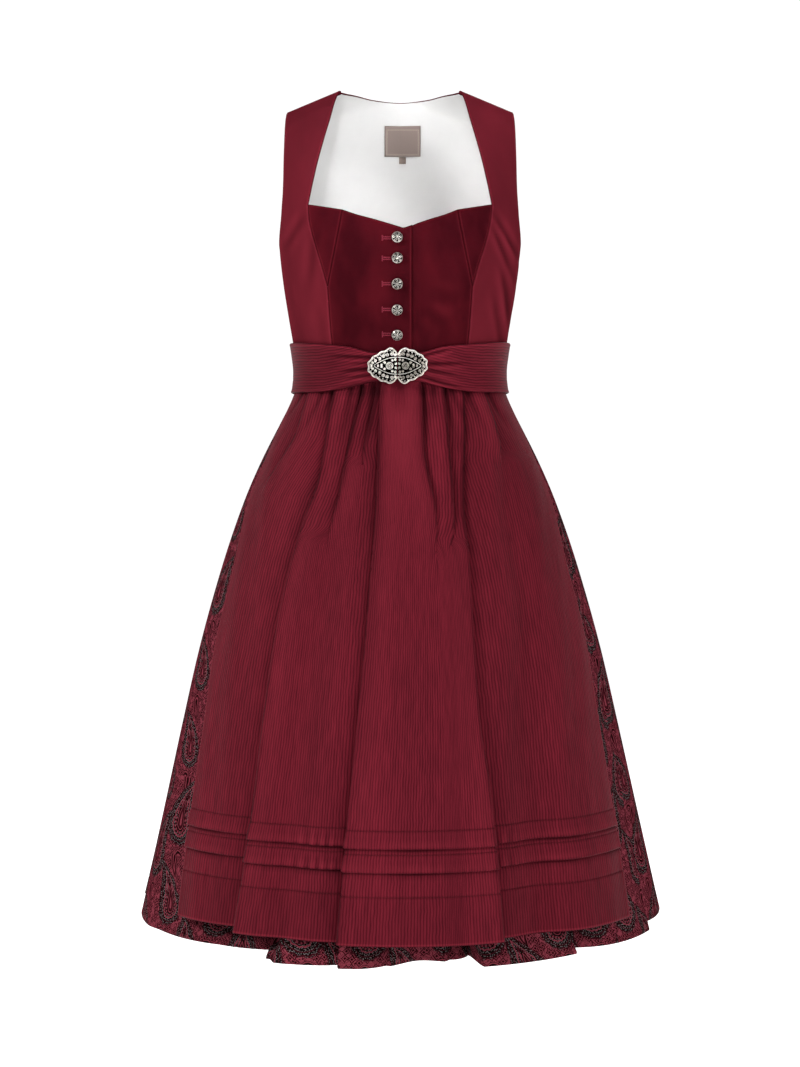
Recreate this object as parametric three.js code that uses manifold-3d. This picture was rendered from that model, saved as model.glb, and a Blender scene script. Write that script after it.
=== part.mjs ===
// A sleeveless midi dirndl with its apron, filled out as it is when worn, with nobody inside it.
// Lengths are in millimetres. +X is the wearer's left, -Y the front and +Z up.
// The origin lies midway between the two straps, where the wearer's shoulders carry them.

import * as THREE from "three";
import { mergeVertices } from "three/addons/utils/BufferGeometryUtils.js";
import Module from "manifold-3d";

const wasm = await Module();
wasm.setup();

// ---------------------------------------------------------------- driving dimensions

const SEAM_GAP = 0.3;
const LAYER_GAP = 0.7;
const VELVET = 1.5;
const LINING = 1.0;
const SKIRT_CLOTH = 1.2;
const APRON_CLOTH = 1.2;
const BAND_CLOTH = 2.0;
const LABEL_CLOTH = 1.0;

const WAIST_SEAM = -355;
const SKIRT_HEM = -1033;
const APRON_HEM = -1005;
const BELOW_APRON = APRON_HEM - 4;

// The shoulder line falls away from the neck, and its ridge is rounded from front to back.
const SHOULDER_SLOPE = 0.406;
const SHOULDER_MIDDLE = 110;
const SHOULDER_ROUNDING = 26;
const SHOULDER_REACH = -190;
const SHOULDER_POINT = { x: 144.6, level: 0 };
const NECK_POINT = { x: 75.5, level: 0 };

// Fullness that the bust seams give each side of the front.
const CUP = { x: 80, level: -222, width: 42, height: 48, depth: 9 };

// How square a horizontal section is: 2 is an ellipse, more is squarer.
const BODICE_SQUARENESS = 2.4;
const HEM_SQUARENESS = 2.05;

// Half width and the reach to the front and back of each horizontal section.
const BODICE_SECTIONS = [
  { level: 0, half: 176, front: 40, back: 42 },
  { level: -30, half: 172, front: 56, back: 62 },
  { level: -60, half: 168, front: 76, back: 80 },
  { level: -100, half: 161, front: 97, back: 96 },
  { level: -145, half: 156, front: 117, back: 104 },
  { level: -190, half: 154, front: 127, back: 104 },
  { level: -235, half: 149, front: 130, back: 99 },
  { level: -280, half: 142, front: 121, back: 92 },
  { level: -310, half: 137, front: 111, back: 88 },
  { level: -340, half: 133, front: 103, back: 87 },
  { level: WAIST_SEAM, half: 133, front: 101, back: 88 },
];

const SKIRT_SECTIONS = [
  { level: WAIST_SEAM, half: 133, front: 101, back: 88 },
  { level: -372, half: 136, front: 104, back: 92 },
  { level: -406, half: 153, front: 121, back: 112 },
  { level: -457, half: 179, front: 146, back: 140 },
  { level: -509, half: 202, front: 170, back: 167 },
  { level: -587, half: 230, front: 203, back: 203 },
  { level: -691, half: 261, front: 237, back: 241 },
  { level: -796, half: 287, front: 266, back: 274 },
  { level: -901, half: 312, front: 294, back: 304 },
  { level: SKIRT_HEM, half: 344, front: 322, back: 338 },
];

// ---------------------------------------------------------------- small helpers

const DEGREE = Math.PI / 180;
const { lerp, clamp, smoothstep } = THREE.MathUtils;

// Reads one column of a table at a level, on a smooth curve through the rows, whose levels fall.
function readTable(rows, level, column) {
  const last = rows.length - 1;
  if (level >= rows[0].level) return rows[0][column];
  if (level <= rows[last].level) return rows[last][column];
  const i = rows.findIndex((row) => level > row.level) - 1;
  const slope = (a, b) => (rows[b][column] - rows[a][column]) / (rows[b].level - rows[a].level);
  const run = rows[i + 1].level - rows[i].level;
  const before = slope(Math.max(i - 1, 0), i + 1) * run;
  const after = slope(i, Math.min(i + 2, last)) * run;
  const t = (level - rows[i].level) / run;
  const start = rows[i][column];
  const rise = rows[i + 1][column] - start;
  return start + t * (before + t * (3 * rise - 2 * before - after + t * (before + after - 2 * rise)));
}

function readSection(rows, level) {
  return {
    half: readTable(rows, level, "half"),
    front: readTable(rows, level, "front"),
    back: readTable(rows, level, "back"),
  };
}

// A point of a section. Angle 0 is the middle of the front, 90 the wearer's left and 180 the back.
function sectionPoint(section, angle, squareness, z) {
  const across = Math.sin(angle * DEGREE);
  const ahead = Math.cos(angle * DEGREE);
  const depth = ahead > 0 ? section.front : section.back;
  const x = section.half * Math.sign(across) * Math.abs(across) ** (2 / squareness);
  const y = -depth * Math.sign(ahead) * Math.abs(ahead) ** (2 / squareness);
  return new THREE.Vector3(x, y, z);
}

function angleOfShare(share, squareness) {
  return Math.asin(clamp(share, 0, 1) ** (squareness / 2)) / DEGREE;
}

// The direction that a surface faces at a point, from its slopes in both of its directions.
function facing(surface, u, v) {
  const step = 0.05;
  const alongU = surface(u + step, v).sub(surface(u - step, v));
  const alongV = surface(u, v + step).sub(surface(u, v - step));
  return alongU.cross(alongV).normalize();
}

function lifted(surface, u, v, lift) {
  return surface(u, v).addScaledVector(facing(surface, u, v), lift);
}

// Evenly spaced numbers from one value to another.
function spaced(from, to, count) {
  return Array.from({ length: count + 1 }, (_, i) => lerp(from, to, i / count));
}

// ---------------------------------------------------------------- walls of cloth

// A closed solid between an outer and an inner grid of points, with its four edges shut.
function shell(outer, inner) {
  const rows = outer.length;
  const columns = outer[0].length;
  const positions = [...outer.flat(), ...inner.flat()].flatMap((p) => [p.x, p.y, p.z]);
  const at = (i, j, side) => side * rows * columns + i * columns + j;
  const index = [];
  const quad = (a, b, c, d) => index.push(a, b, c, a, c, d);
  for (let i = 0; i < rows - 1; i++) {
    for (let j = 0; j < columns - 1; j++) {
      quad(at(i, j, 0), at(i, j + 1, 0), at(i + 1, j + 1, 0), at(i + 1, j, 0));
      quad(at(i, j, 1), at(i + 1, j, 1), at(i + 1, j + 1, 1), at(i, j + 1, 1));
    }
    quad(at(i, 0, 0), at(i + 1, 0, 0), at(i + 1, 0, 1), at(i, 0, 1));
    const end = columns - 1;
    quad(at(i, end, 0), at(i, end, 1), at(i + 1, end, 1), at(i + 1, end, 0));
  }
  for (let j = 0; j < columns - 1; j++) {
    const top = rows - 1;
    quad(at(0, j, 0), at(0, j, 1), at(0, j + 1, 1), at(0, j + 1, 0));
    quad(at(top, j, 0), at(top, j + 1, 0), at(top, j + 1, 1), at(top, j, 1));
  }
  return closedGeometry(positions, index);
}

// A geometry from points and triangles, turned round if its faces point inwards.
function closedGeometry(positions, index) {
  const corner = (k) => new THREE.Vector3().fromArray(positions, 3 * index[k]);
  let volume = 0;
  for (let k = 0; k < index.length; k += 3) {
    volume += corner(k).dot(corner(k + 1).cross(corner(k + 2)));
  }
  const facingOut = volume > 0 ? index : [...index].reverse();
  const geometry = new THREE.BufferGeometry();
  geometry.setAttribute("position", new THREE.Float32BufferAttribute(positions, 3));
  return geometry.setIndex(facingOut);
}

const FULL_PANEL = { top: 0, sidesAt: () => 0 };

// Draws the edges of a grid back by half a seam gap, so that neighbours never touch, and the top
// and the last and first columns further where a lining stops short of its panel.
function drawBackEdges(grids, short) {
  const [outer] = grids;
  const last = outer.length - 1;
  const end = outer[0].length - 1;
  const seam = SEAM_GAP / 2;
  const step = (i, j, k, l, length) => outer[k][l].clone().sub(outer[i][j]).setLength(length);
  const moves = [];
  for (let i = 0; i <= last; i++) {
    moves.push([i, 0, step(i, 0, i, 1, seam + short.sidesAt(i))]);
    moves.push([i, end, step(i, end, i, end - 1, seam + short.sidesAt(i))]);
  }
  for (let j = 0; j <= end; j++) {
    moves.push([0, j, step(0, j, 1, j, seam)]);
    moves.push([last, j, step(last, j, last - 1, j, seam + short.top)]);
  }
  for (const [i, j, move] of moves) {
    grids.forEach((grid) => grid[i][j].add(move));
  }
}

// A wall of cloth on a surface. Its places are a grid of [u, v], and it reaches from lift inwards.
function clothWall(surface, places, thickness, options = {}) {
  const { liftAt = () => 0, raiseAt = () => 0, short = FULL_PANEL } = options;
  const layer = (depth, raised) =>
    places.map((row) =>
      row.map(([u, v]) => lifted(surface, u, v, liftAt(u, v) + raised(u, v) - depth)),
    );
  const grids = [layer(0, raiseAt), layer(thickness, () => 0)];
  drawBackEdges(grids, short);
  return shell(...grids);
}

// ---------------------------------------------------------------- the bodice's form

const shoulderSlope = (level) => SHOULDER_SLOPE * smoothstep(level, SHOULDER_REACH, 0);

// Level follows the height, but for the shoulders, where lines of one level slope as they do.
function bodicePoint(angle, level) {
  const section = readSection(BODICE_SECTIONS, level);
  const fromRidge = clamp(-level / SHOULDER_ROUNDING, 0, 1);
  const rounding = Math.sqrt(1 - (1 - fromRidge) ** 2);
  section.front *= rounding;
  section.back *= rounding;
  const point = sectionPoint(section, angle, BODICE_SQUARENESS, level);
  point.z -= shoulderSlope(level) * (Math.abs(point.x) - SHOULDER_MIDDLE);
  if (Math.cos(angle * DEGREE) > 0) {
    const aside = (Math.abs(point.x) - CUP.x) / CUP.width;
    const above = (level - CUP.level) / CUP.height;
    point.y -= CUP.depth * Math.exp(-(aside ** 2) - above ** 2);
  }
  return point;
}

function bodiceAngle(x, level) {
  const { half } = readSection(BODICE_SECTIONS, level);
  return Math.sign(x) * angleOfShare(Math.abs(x) / half, BODICE_SQUARENESS);
}

function shareAngle(share) {
  return angleOfShare(share, BODICE_SQUARENESS);
}

// The places between two edges, each a list of [angle, level] that run up the panel together.
function placesBetween(oneEdge, otherEdge, columns) {
  return oneEdge.map(([angle, level], i) =>
    spaced(0, 1, columns).map((s) => [
      lerp(angle, otherEdge[i][0], s),
      lerp(level, otherEdge[i][1], s),
    ]),
  );
}

// The seam from the waist up beside the centre front, and the inset that opens out of it.
const FRONT_SEAM = [
  { x: 80, level: WAIST_SEAM },
  { x: 81.3, level: -340 },
  { x: 83, level: -325 },
  { x: 86, level: -288 },
  { x: 88.5, level: -245 },
];
const INSET_ROWS = [
  { centreX: 88.2, centreLevel: -243.5, sideX: 89, sideLevel: -243.5 },
  { centreX: 83, centreLevel: -218, sideX: 96, sideLevel: -218 },
  { centreX: 77.5, centreLevel: -190, sideX: 105.5, sideLevel: -188 },
  { centreX: 73.5, centreLevel: -169, sideX: 111.5, sideLevel: -163 },
  { centreX: 70.5, centreLevel: -152, sideX: 113.5, sideLevel: -141 },
];

// The strap's neck edge above the inset, and the armhole edge that runs up with it.
const STRAP_ROWS = [
  { neckX: 108.5, neckLevel: -116, armShare: 0.934, armLevel: -120 },
  { neckX: 102.5, neckLevel: -90, armShare: 0.907, armLevel: -92 },
  { neckX: 95.5, neckLevel: -65, armShare: 0.873, armLevel: -60 },
  { neckX: 86.5, neckLevel: -35, armShare: 0.851, armLevel: -32 },
  { neckX: 80.5, neckLevel: -13, armShare: 0.834, armLevel: -12 },
  { neckX: 77, neckLevel: -3.5, armShare: 0.826, armLevel: -3.5 },
  { neckX: NECK_POINT.x, neckLevel: 0, armShare: 0.8216, armLevel: 0 },
];

// The side seam and the front of the armhole, level with the rows of the front's seams.
const SIDE_FRONT_OUTER = [
  { share: 1, level: WAIST_SEAM },
  { share: 1, level: -340 },
  { share: 1, level: -322 },
  { share: 1, level: -285 },
  { share: 1, level: -245 },
  { share: 1, level: -238 },
  { share: 1, level: -212 },
  { share: 1, level: -188 },
  { share: 0.995, level: -180 },
  { share: 0.963, level: -148 },
];

// The heart-shaped front neckline from the middle to the inset. As in the back neckline's table,
// a row's level is the distance from the middle, written as a negative number.
const FRONT_NECKLINE = [
  { level: 0, height: -172.5 },
  { level: -36, height: -165 },
  { level: -70.5, height: -152 },
];

const necklineAt = (x) => readTable(FRONT_NECKLINE, -Math.abs(x), "height");

// ---------------------------------------------------------------- the bodice's panels

// Where the two fronts lap over each other, as lines across the middle.
const PLACKET_EDGE = 15;
const UNDERLAP_EDGE = -13;
const UNDERLAP_FLUSH = 25;

const frontSeamEdge = FRONT_SEAM.map(({ x, level }) => [bodiceAngle(x, level), level]);
const insetCentreEdge = INSET_ROWS.map((row) => [
  bodiceAngle(row.centreX, row.centreLevel),
  row.centreLevel,
]);
const insetSideEdge = INSET_ROWS.map((row) => [
  bodiceAngle(row.sideX, row.sideLevel),
  row.sideLevel,
]);

// A centre front: from the named lines across the middle to the princess seam.
function centreFront(side, lines, liftAt) {
  const seam = [...frontSeamEdge, ...insetCentreEdge];
  const top = seam[seam.length - 1][1];
  const places = seam.map(([seamAngle, seamLevel]) => {
    const climb = clamp((seamLevel - WAIST_SEAM) / (top - WAIST_SEAM), 0, 1);
    const middle = lines.map((x) => bodiceAngle(x, seamLevel));
    const rest = spaced(middle[middle.length - 1], side * seamAngle, 4).slice(1);
    return [...middle, ...rest].map((angle) => {
      const x = bodicePoint(angle, seamLevel).x;
      return [angle, seamLevel + (necklineAt(x) - top) * climb ** 2];
    });
  });
  return clothWall(bodicePoint, places, VELVET, { liftAt });
}

// The left front dips under the right one, where the row of buttons closes them.
function underlapLift(angle, level) {
  const x = bodicePoint(angle, level).x;
  const midway = (PLACKET_EDGE + UNDERLAP_FLUSH) / 2;
  return x < midway ? -(VELVET + SEAM_GAP) : 0;
}

function bustInset(side) {
  const places = placesBetween(insetCentreEdge, insetSideEdge, 3);
  const turned = places.map((row) => row.map(([angle, level]) => [side * angle, level]));
  return clothWall(bodicePoint, turned, VELVET);
}

// A side front runs from the waist past the inset and the neckline's corner, over the shoulder.
function sideFront(side) {
  const neckEdge = STRAP_ROWS.map((row) => [
    bodiceAngle(row.neckX, row.neckLevel),
    row.neckLevel,
  ]);
  const strapArmEdge = STRAP_ROWS.map((row) => [shareAngle(row.armShare), row.armLevel]);
  const sideEdge = SIDE_FRONT_OUTER.map(({ share, level }) => [shareAngle(share), level]);
  const inner = [...frontSeamEdge, ...insetSideEdge, ...neckEdge];
  const outer = [...sideEdge, ...strapArmEdge];
  const places = placesBetween(inner, outer, 5);
  const turned = places.map((row) => row.map(([angle, level]) => [side * angle, level]));
  return clothWall(bodicePoint, turned, VELVET);
}

// The curved seams of the back, from the waist to the armholes.
const BACK_SEAM = [
  { x: 50, level: WAIST_SEAM },
  { x: 50.8, level: -340 },
  { x: 52.6, level: -316 },
  { x: 57, level: -292 },
  { x: 68, level: -255 },
  { x: 84, level: -220 },
  { x: 101, level: -185 },
  { x: 118, level: -150 },
  { x: 131, level: -124 },
  { x: 137.5, level: -109 },
];
const BACK_ARMHOLE = [
  { x: 141, level: -80 },
  { x: 142.5, level: -52 },
  { x: 143.5, level: -28 },
  { x: 144, level: -12 },
  { x: 144.4, level: -3.5 },
  SHOULDER_POINT,
];
const SIDE_BACK_OUTER = [
  { share: 1, level: WAIST_SEAM },
  { share: 1, level: -340 },
  { share: 1, level: -316 },
  { share: 1, level: -292 },
  { share: 1, level: -255 },
  { share: 1, level: -220 },
  { share: 1, level: -188 },
  { share: 0.972, level: -162 },
  { share: 0.92, level: -136 },
  { share: 0.882, level: -112 },
];

// The back neckline from the middle to the shoulder, as a dip below the shoulder ridge.
const BACK_NECKLINE = [
  { level: 0, dip: -30.7 },
  { level: -10, dip: -27.5 },
  { level: -20, dip: -23.6 },
  { level: -40, dip: -15.2 },
  { level: -58, dip: -6.5 },
  { level: -NECK_POINT.x, dip: 0 },
];

const backEdge = [...BACK_SEAM, ...BACK_ARMHOLE].map(({ x, level }) => [
  bodiceAngle(x, level),
  level,
]);

// Places across the back between an edge and its mirror image, with the neckline cut out on top.
function placesAcrossBack(edge, shares) {
  const [topAngle, topLevel] = edge[edge.length - 1];
  return edge.map(([angle, level]) => {
    const climb = clamp((level - SHOULDER_REACH) / (topLevel - SHOULDER_REACH), 0, 1);
    return shares.map((share) => {
      const topX = Math.abs(bodicePoint(180 - share * topAngle, topLevel).x);
      const dip = topX < NECK_POINT.x ? readTable(BACK_NECKLINE, -topX, "dip") : 0;
      return [180 - share * angle, level + dip * climb];
    });
  });
}

function backCentrePlaces() {
  const [topAngle] = backEdge[backEdge.length - 1];
  const neck = bodiceAngle(NECK_POINT.x, NECK_POINT.level) / topAngle;
  const half = [0, 0.22 * neck, 0.45 * neck, 0.7 * neck, neck, (1 + neck) / 2, 1];
  const shares = [...half.slice(1).reverse(), ...half.map((share) => -share)];
  return placesAcrossBack(backEdge, shares);
}

function sideBackPlaces(side) {
  const inner = BACK_SEAM.map(({ x, level }) => [180 - bodiceAngle(x, level), level]);
  const outer = SIDE_BACK_OUTER.map(({ share, level }) => [180 - shareAngle(share), level]);
  const places = placesBetween(inner, outer, 4);
  return places.map((row) => row.map(([angle, level]) => [side * angle, level]));
}

// The lining is cut as the back's panels are, and stops a little short of the open edges.
const LINING_MARGIN = 3;
const LINING_LIFT = -(VELVET + LAYER_GAP);

function liningPanel(places, openSideRows) {
  const firstOpen = places.length - openSideRows;
  const sidesAt = (row) => (row >= firstOpen ? LINING_MARGIN : 0);
  const short = { top: LINING_MARGIN, sidesAt };
  return clothWall(bodicePoint, places, LINING, { liftAt: () => LINING_LIFT, short });
}

// A woven label with its small tab lies flat on the lining under the middle of the neckline.
// Its edges are straight, so its top and bottom are heights and not levels.
const LABEL = { x: 3.4, top: -16, bottom: -54.5, half: 24.5, columns: 6, rows: 4 };
const LABEL_TAB = { x: 3.4, top: -54.9, bottom: -63.5, half: 5, columns: 2, rows: 1 };
const LABEL_GAP = 0.9;
const LABEL_LIFT = LINING_LIFT - LINING - LABEL_GAP;

// The level that a height has at a distance from the middle, closed in on step by step.
function levelOfHeight(height, x) {
  return spaced(0, 1, 30).reduce(
    (level) => height + shoulderSlope(level) * (Math.abs(x) - SHOULDER_MIDDLE),
    height,
  );
}

function labelWall({ x, top, bottom, half, columns, rows }) {
  const places = spaced(bottom, top, rows).map((height) =>
    spaced(x + half, x - half, columns).map((across) => {
      const level = levelOfHeight(height, across);
      return [Math.sign(across) * (180 - Math.abs(bodiceAngle(across, level))), level];
    }),
  );
  const unwound = places.map((row) => row.map(([a, level]) => [a < 0 ? a + 360 : a, level]));
  return clothWall(bodicePoint, unwound, LABEL_CLOTH, { liftAt: () => LABEL_LIFT });
}

// ---------------------------------------------------------------- folds of the skirt and apron

// Each fold runs from waist to hem. Its place is a share of the section's half width at the
// waist, a fifth of the way down and at the hem. Low is the side that drops behind the fold's
// lip: 1 away from the wearer's right, -1 towards it, and 0 for a soft trough with no lip.
// Depths are given at the same three heights, and reach is how wide the drop is at the hem.
const APRON_FOLDS = [
  { waist: -0.83, upper: -0.8, hem: -0.74, low: -1, top: 7, middle: 2, bottom: 0, reach: 60 },
  { waist: -0.57, upper: -0.56, hem: -0.545, low: -1, top: 8, middle: 14, bottom: 32, reach: 100 },
  { waist: -0.3, upper: -0.4, hem: -0.4, low: -1, top: 8, middle: 9, bottom: 6, reach: 60 },
  { waist: -0.075, upper: -0.1, hem: -0.166, low: -1, top: 7, middle: 9, bottom: 15, reach: 75 },
  { waist: 0.13, upper: 0.16, hem: 0.1, low: 1, top: 7, middle: 8, bottom: 1, reach: 40 },
  { waist: 0.35, upper: 0.28, hem: 0.22, low: 1, top: 8, middle: 8, bottom: 0, reach: 40 },
  { waist: 0.54, upper: 0.38, hem: 0.32, low: 1, top: 8, middle: 10, bottom: 13, reach: 60 },
  { waist: 0.74, upper: 0.67, hem: 0.49, low: 0, top: 8, middle: 5, bottom: 14, reach: 45 },
  { waist: 0.93, upper: 0.9, hem: 0.7, low: 1, top: 5, middle: 2, bottom: 0, reach: 40 },
];
const APRON_EDGE = { waist: 0.985, upper: 0.945, hem: 0.81 };

// The skirt's own folds behind and beside the apron.
const SKIRT_FRONT_FOLDS = [
  { waist: -0.7, upper: -0.6, hem: -0.45, low: -1, top: 1, middle: 8, bottom: 42, reach: 110 },
  { waist: -0.3, upper: -0.25, hem: -0.19, low: -1, top: 1, middle: 4, bottom: 16, reach: 50 },
  { waist: 0.1, upper: 0.1, hem: 0.07, low: 0, top: 1, middle: 6, bottom: 36, reach: 40 },
  { waist: 0.5, upper: 0.42, hem: 0.33, low: -1, top: 1, middle: 8, bottom: 48, reach: 50 },
  { waist: 0.78, upper: 0.7, hem: 0.6, low: 1, top: 1, middle: 6, bottom: 32, reach: 50 },
  { waist: 0.91, upper: 0.925, hem: 0.96, low: 1, top: 2, middle: 8, bottom: 34, reach: 60 },
];

// Knife pleats round the back and its sides, laid away from the middle of the back.
const HIDDEN_PLEATS = 12;
const HIDDEN_FROM = 93;
const HIDDEN_TO = 267;
const UPPER_SHARE = 0.22;
const PLEATS_START = 0.045;

const depthOnWay = (t, fold) =>
  readTable(
    [
      { level: 0, depth: 0 },
      { level: -PLEATS_START, depth: fold.top },
      { level: -UPPER_SHARE, depth: fold.middle },
      { level: -1, depth: fold.bottom },
    ],
    -t,
    "depth",
  );

const placeOnWay = (t, fold) =>
  t < UPPER_SHARE
    ? lerp(fold.waist, fold.upper, t / UPPER_SHARE)
    : lerp(fold.upper, fold.hem, (t - UPPER_SHARE) / (1 - UPPER_SHARE));

const wayDown = (level) => clamp((WAIST_SEAM - level) / (WAIST_SEAM - SKIRT_HEM), 0, 1);
const skirtSquareness = (t) => lerp(BODICE_SQUARENESS, HEM_SQUARENESS, smoothstep(t, 0, 0.4));

// The angle of a front fold, which is placed by its share of the half width.
function frontAngle(t, fold) {
  const share = placeOnWay(t, fold);
  return Math.sign(share) * angleOfShare(Math.abs(share), skirtSquareness(t));
}

// Hidden pleats differ in place and depth by a steady rule, so that no two neighbours match.
function hiddenPleats() {
  const pitch = (HIDDEN_TO - HIDDEN_FROM) / HIDDEN_PLEATS;
  return Array.from({ length: HIDDEN_PLEATS }, (_, k) => {
    const drift = 0.22 * Math.sin(2.3 * k + 0.7);
    const angle = HIDDEN_FROM + (k + 0.5) * pitch;
    return {
      angle,
      hemAngle: angle + drift * pitch,
      low: angle < 180 ? -1 : 1,
      top: 5,
      middle: 9 + 2 * Math.sin(1.7 * k),
      bottom: 27 + 10 * Math.sin(2.9 * k + 1),
      reach: 42 + 8 * Math.sin(1.3 * k),
    };
  });
}

const HIDDEN_FOLDS = hiddenPleats();
const hiddenAngle = (t, fold) => lerp(fold.angle, fold.hemAngle, t);

const LIP_ROUNDNESS = 3;
const LEAST_REACH = 14;

// How far the cloth lies behind the fold's lip, at a distance past it.
function dropBehind(fold, past, t) {
  const depth = depthOnWay(t, fold);
  const reach = lerp(LEAST_REACH, fold.reach, t);
  if (fold.low === 0) return depth * Math.exp(-((past / reach) ** 2));
  const lip = LIP_ROUNDNESS * Math.sqrt(Math.max(depth, 1));
  const beyond = past * fold.low;
  if (beyond <= 0) return 0;
  return depth * smoothstep(beyond, 0, lip) * Math.exp(-Math.max(beyond - lip, 0) / reach);
}

const meanRadius = (level) => {
  const { half, front } = readSection(SKIRT_SECTIONS, level);
  return (half + front) / 2;
};

// The shorter way round from one angle to another.
const turnFrom = (from, to) => ((((to - from + 180) % 360) + 360) % 360) - 180;

function dropOf(folds, angleOf, angle, level) {
  const t = wayDown(level);
  const radius = meanRadius(level);
  return folds.reduce((sum, fold) => {
    const past = turnFrom(angleOf(t, fold), angle) * DEGREE * radius;
    return sum + dropBehind(fold, past, t);
  }, 0);
}

const apronEdgeAngle = (t) => angleOfShare(placeOnWay(t, APRON_EDGE), skirtSquareness(t));
const APRON_FADE = 6;

// How far the apron's folds press in, fading out just past its side edges.
function apronDrop(angle, level) {
  const edge = apronEdgeAngle(wayDown(level));
  const within = 1 - smoothstep(Math.abs(turnFrom(0, angle)), edge, edge + APRON_FADE);
  return within > 0 ? within * dropOf(APRON_FOLDS, frontAngle, angle, level) : 0;
}

// A point of the skirt's envelope, moved in towards its axis by a drop.
function skirtPoint(angle, level, drop) {
  const section = readSection(SKIRT_SECTIONS, level);
  const point = sectionPoint(section, angle, skirtSquareness(wayDown(level)), level);
  const inwards = new THREE.Vector3(point.x, point.y, 0).normalize();
  return point.addScaledVector(inwards, -drop);
}

const apronSurface = (angle, level) => skirtPoint(angle, level, apronDrop(angle, level));

// The skirt lies as deep as the apron presses in anywhere near, so the two never meet.
// Below the apron's hem it comes forward again, to a share of that depth at its own hem.
const RECESS = { span: 9, steps: 12, clearAtWaist: 0.6, clear: 1.5, full: 0.03, atHem: 0.5 };

function recessUnderApron(angle, level) {
  const near = spaced(angle - RECESS.span, angle + RECESS.span, RECESS.steps);
  const t = wayDown(level);
  const covered = 1 - smoothstep(Math.abs(turnFrom(0, angle)), apronEdgeAngle(t), 90);
  const clear = lerp(RECESS.clearAtWaist, RECESS.clear, smoothstep(t, 0, RECESS.full));
  const eased = lerp(RECESS.atHem, 1, smoothstep(level, SKIRT_HEM, BELOW_APRON));
  return eased * (covered * clear + Math.max(...near.map((one) => apronDrop(one, level))));
}

function skirtSurface(angle, level) {
  const own =
    dropOf(SKIRT_FRONT_FOLDS, frontAngle, angle, level) +
    dropOf(HIDDEN_FOLDS, hiddenAngle, angle, level);
  return skirtPoint(angle, level, own + recessUnderApron(angle, level));
}

// The angles of a row's columns: at each fold's lip, in the trough behind it, and past that.
function columnAngles(folds, angleOf, t, level) {
  const radius = meanRadius(level);
  return folds.flatMap((fold) => {
    const lip = LIP_ROUNDNESS * Math.sqrt(Math.max(depthOnWay(t, fold), 1));
    const reach = lerp(LEAST_REACH, fold.reach, t);
    const steps = fold.low === 0 ? [-reach, 0, reach] : [0, lip, lip + 0.6 * reach];
    const side = fold.low || 1;
    return steps.map((step) => angleOf(t, fold) + (side * step) / radius / DEGREE);
  });
}

// Sorted angles that keep a least distance from each other, with the two ends fixed.
function tidyAngles(angles, from, to, least) {
  const sorted = [...angles].sort((a, b) => a - b);
  const count = sorted.length;
  const pushed = sorted.map((angle, i) =>
    clamp(angle, from + (i + 1) * least, to - (count - i) * least),
  );
  for (let i = 1; i < count; i++) pushed[i] = Math.max(pushed[i], pushed[i - 1] + least);
  for (let i = count - 2; i >= 0; i--) pushed[i] = Math.min(pushed[i], pushed[i + 1] - least);
  return [from, ...pushed, to];
}

// ---------------------------------------------------------------- the skirt

const UPPER_LEVELS = [-840, -720, -600, -504, -445, -408, -385, -368, WAIST_SEAM];
const SKIRT_LEVELS = [SKIRT_HEM, BELOW_APRON, -920, ...UPPER_LEVELS];

// Four widths of cloth, whose seams run down between folds. Angles at the waist and the hem.
const SKIRT_WIDTHS = [
  { name: "skirt_front", from: [-62, -51], to: [62, 51], extra: 15 },
  { name: "skirt_left", from: [62, 51], to: [128, 125], extra: 4 },
  { name: "skirt_back", from: [128, 125], to: [232, 235], extra: 2 },
  { name: "skirt_right", from: [232, 235], to: [298, 309], extra: 4 },
];

function skirtWidth({ from, to, extra }) {
  const end = (pair, t) => lerp(pair[0], pair[1], t);
  const inside = (angle, low, high) => angle > low + 1 && angle < high - 1;
  const start = end(from, 1);
  const stop = end(to, 1);
  const fold = (list, angleOf) =>
    list.filter((one) => inside(angleOf(1, one), start, stop)).map((one) => [one, angleOf]);
  const chosen = [...fold(SKIRT_FRONT_FOLDS, frontAngle), ...fold(HIDDEN_FOLDS, hiddenAngle)];
  const places = SKIRT_LEVELS.map((level) => {
    const t = wayDown(level);
    const fill = spaced(end(from, t), end(to, t), extra + 1).slice(1, -1);
    const angles = chosen.flatMap(([one, angleOf]) => columnAngles([one], angleOf, t, level));
    const row = tidyAngles([...angles, ...fill], end(from, t), end(to, t), 0.5);
    return row.map((angle) => [angle, level]);
  });
  return clothWall(skirtSurface, places, SKIRT_CLOTH);
}

// ---------------------------------------------------------------- the apron

// Two tucks lie flat above the deep hem. Each is a fold of cloth, sewn at its top edge.
const TUCKS = [
  { sewn: -879, edge: -899 },
  { sewn: -905, edge: -925 },
];
const TUCK_RAISE = 1.6;
const HEM_SEWN = -951;
const HEM_RAISE = 0.8;
const STEP_DOWN = 1.2;

const APRON_LEVELS = [
  APRON_HEM,
  HEM_SEWN,
  HEM_SEWN + STEP_DOWN,
  ...[...TUCKS].reverse().flatMap(({ sewn, edge }) => [edge - STEP_DOWN, edge, sewn - STEP_DOWN, sewn]),
  ...UPPER_LEVELS,
];

function apronRaise(angle, level) {
  const tucked = TUCKS.some(({ sewn, edge }) => level < sewn - 0.1 && level > edge - 0.1);
  if (tucked) return TUCK_RAISE;
  return level <= HEM_SEWN + 0.1 ? HEM_RAISE : 0;
}

function apron() {
  const places = APRON_LEVELS.map((level) => {
    const t = wayDown(level);
    const edge = apronEdgeAngle(t);
    const angles = columnAngles(APRON_FOLDS, frontAngle, t, level);
    const fill = spaced(-edge, edge, 11).slice(1, -1);
    return tidyAngles([...angles, ...fill], -edge, edge, 0.45).map((angle) => [angle, level]);
  });
  const liftAt = () => LAYER_GAP + APRON_CLOTH;
  return clothWall(apronSurface, places, APRON_CLOTH, { liftAt, raiseAt: apronRaise });
}

// ---------------------------------------------------------------- the apron's waistband

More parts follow.
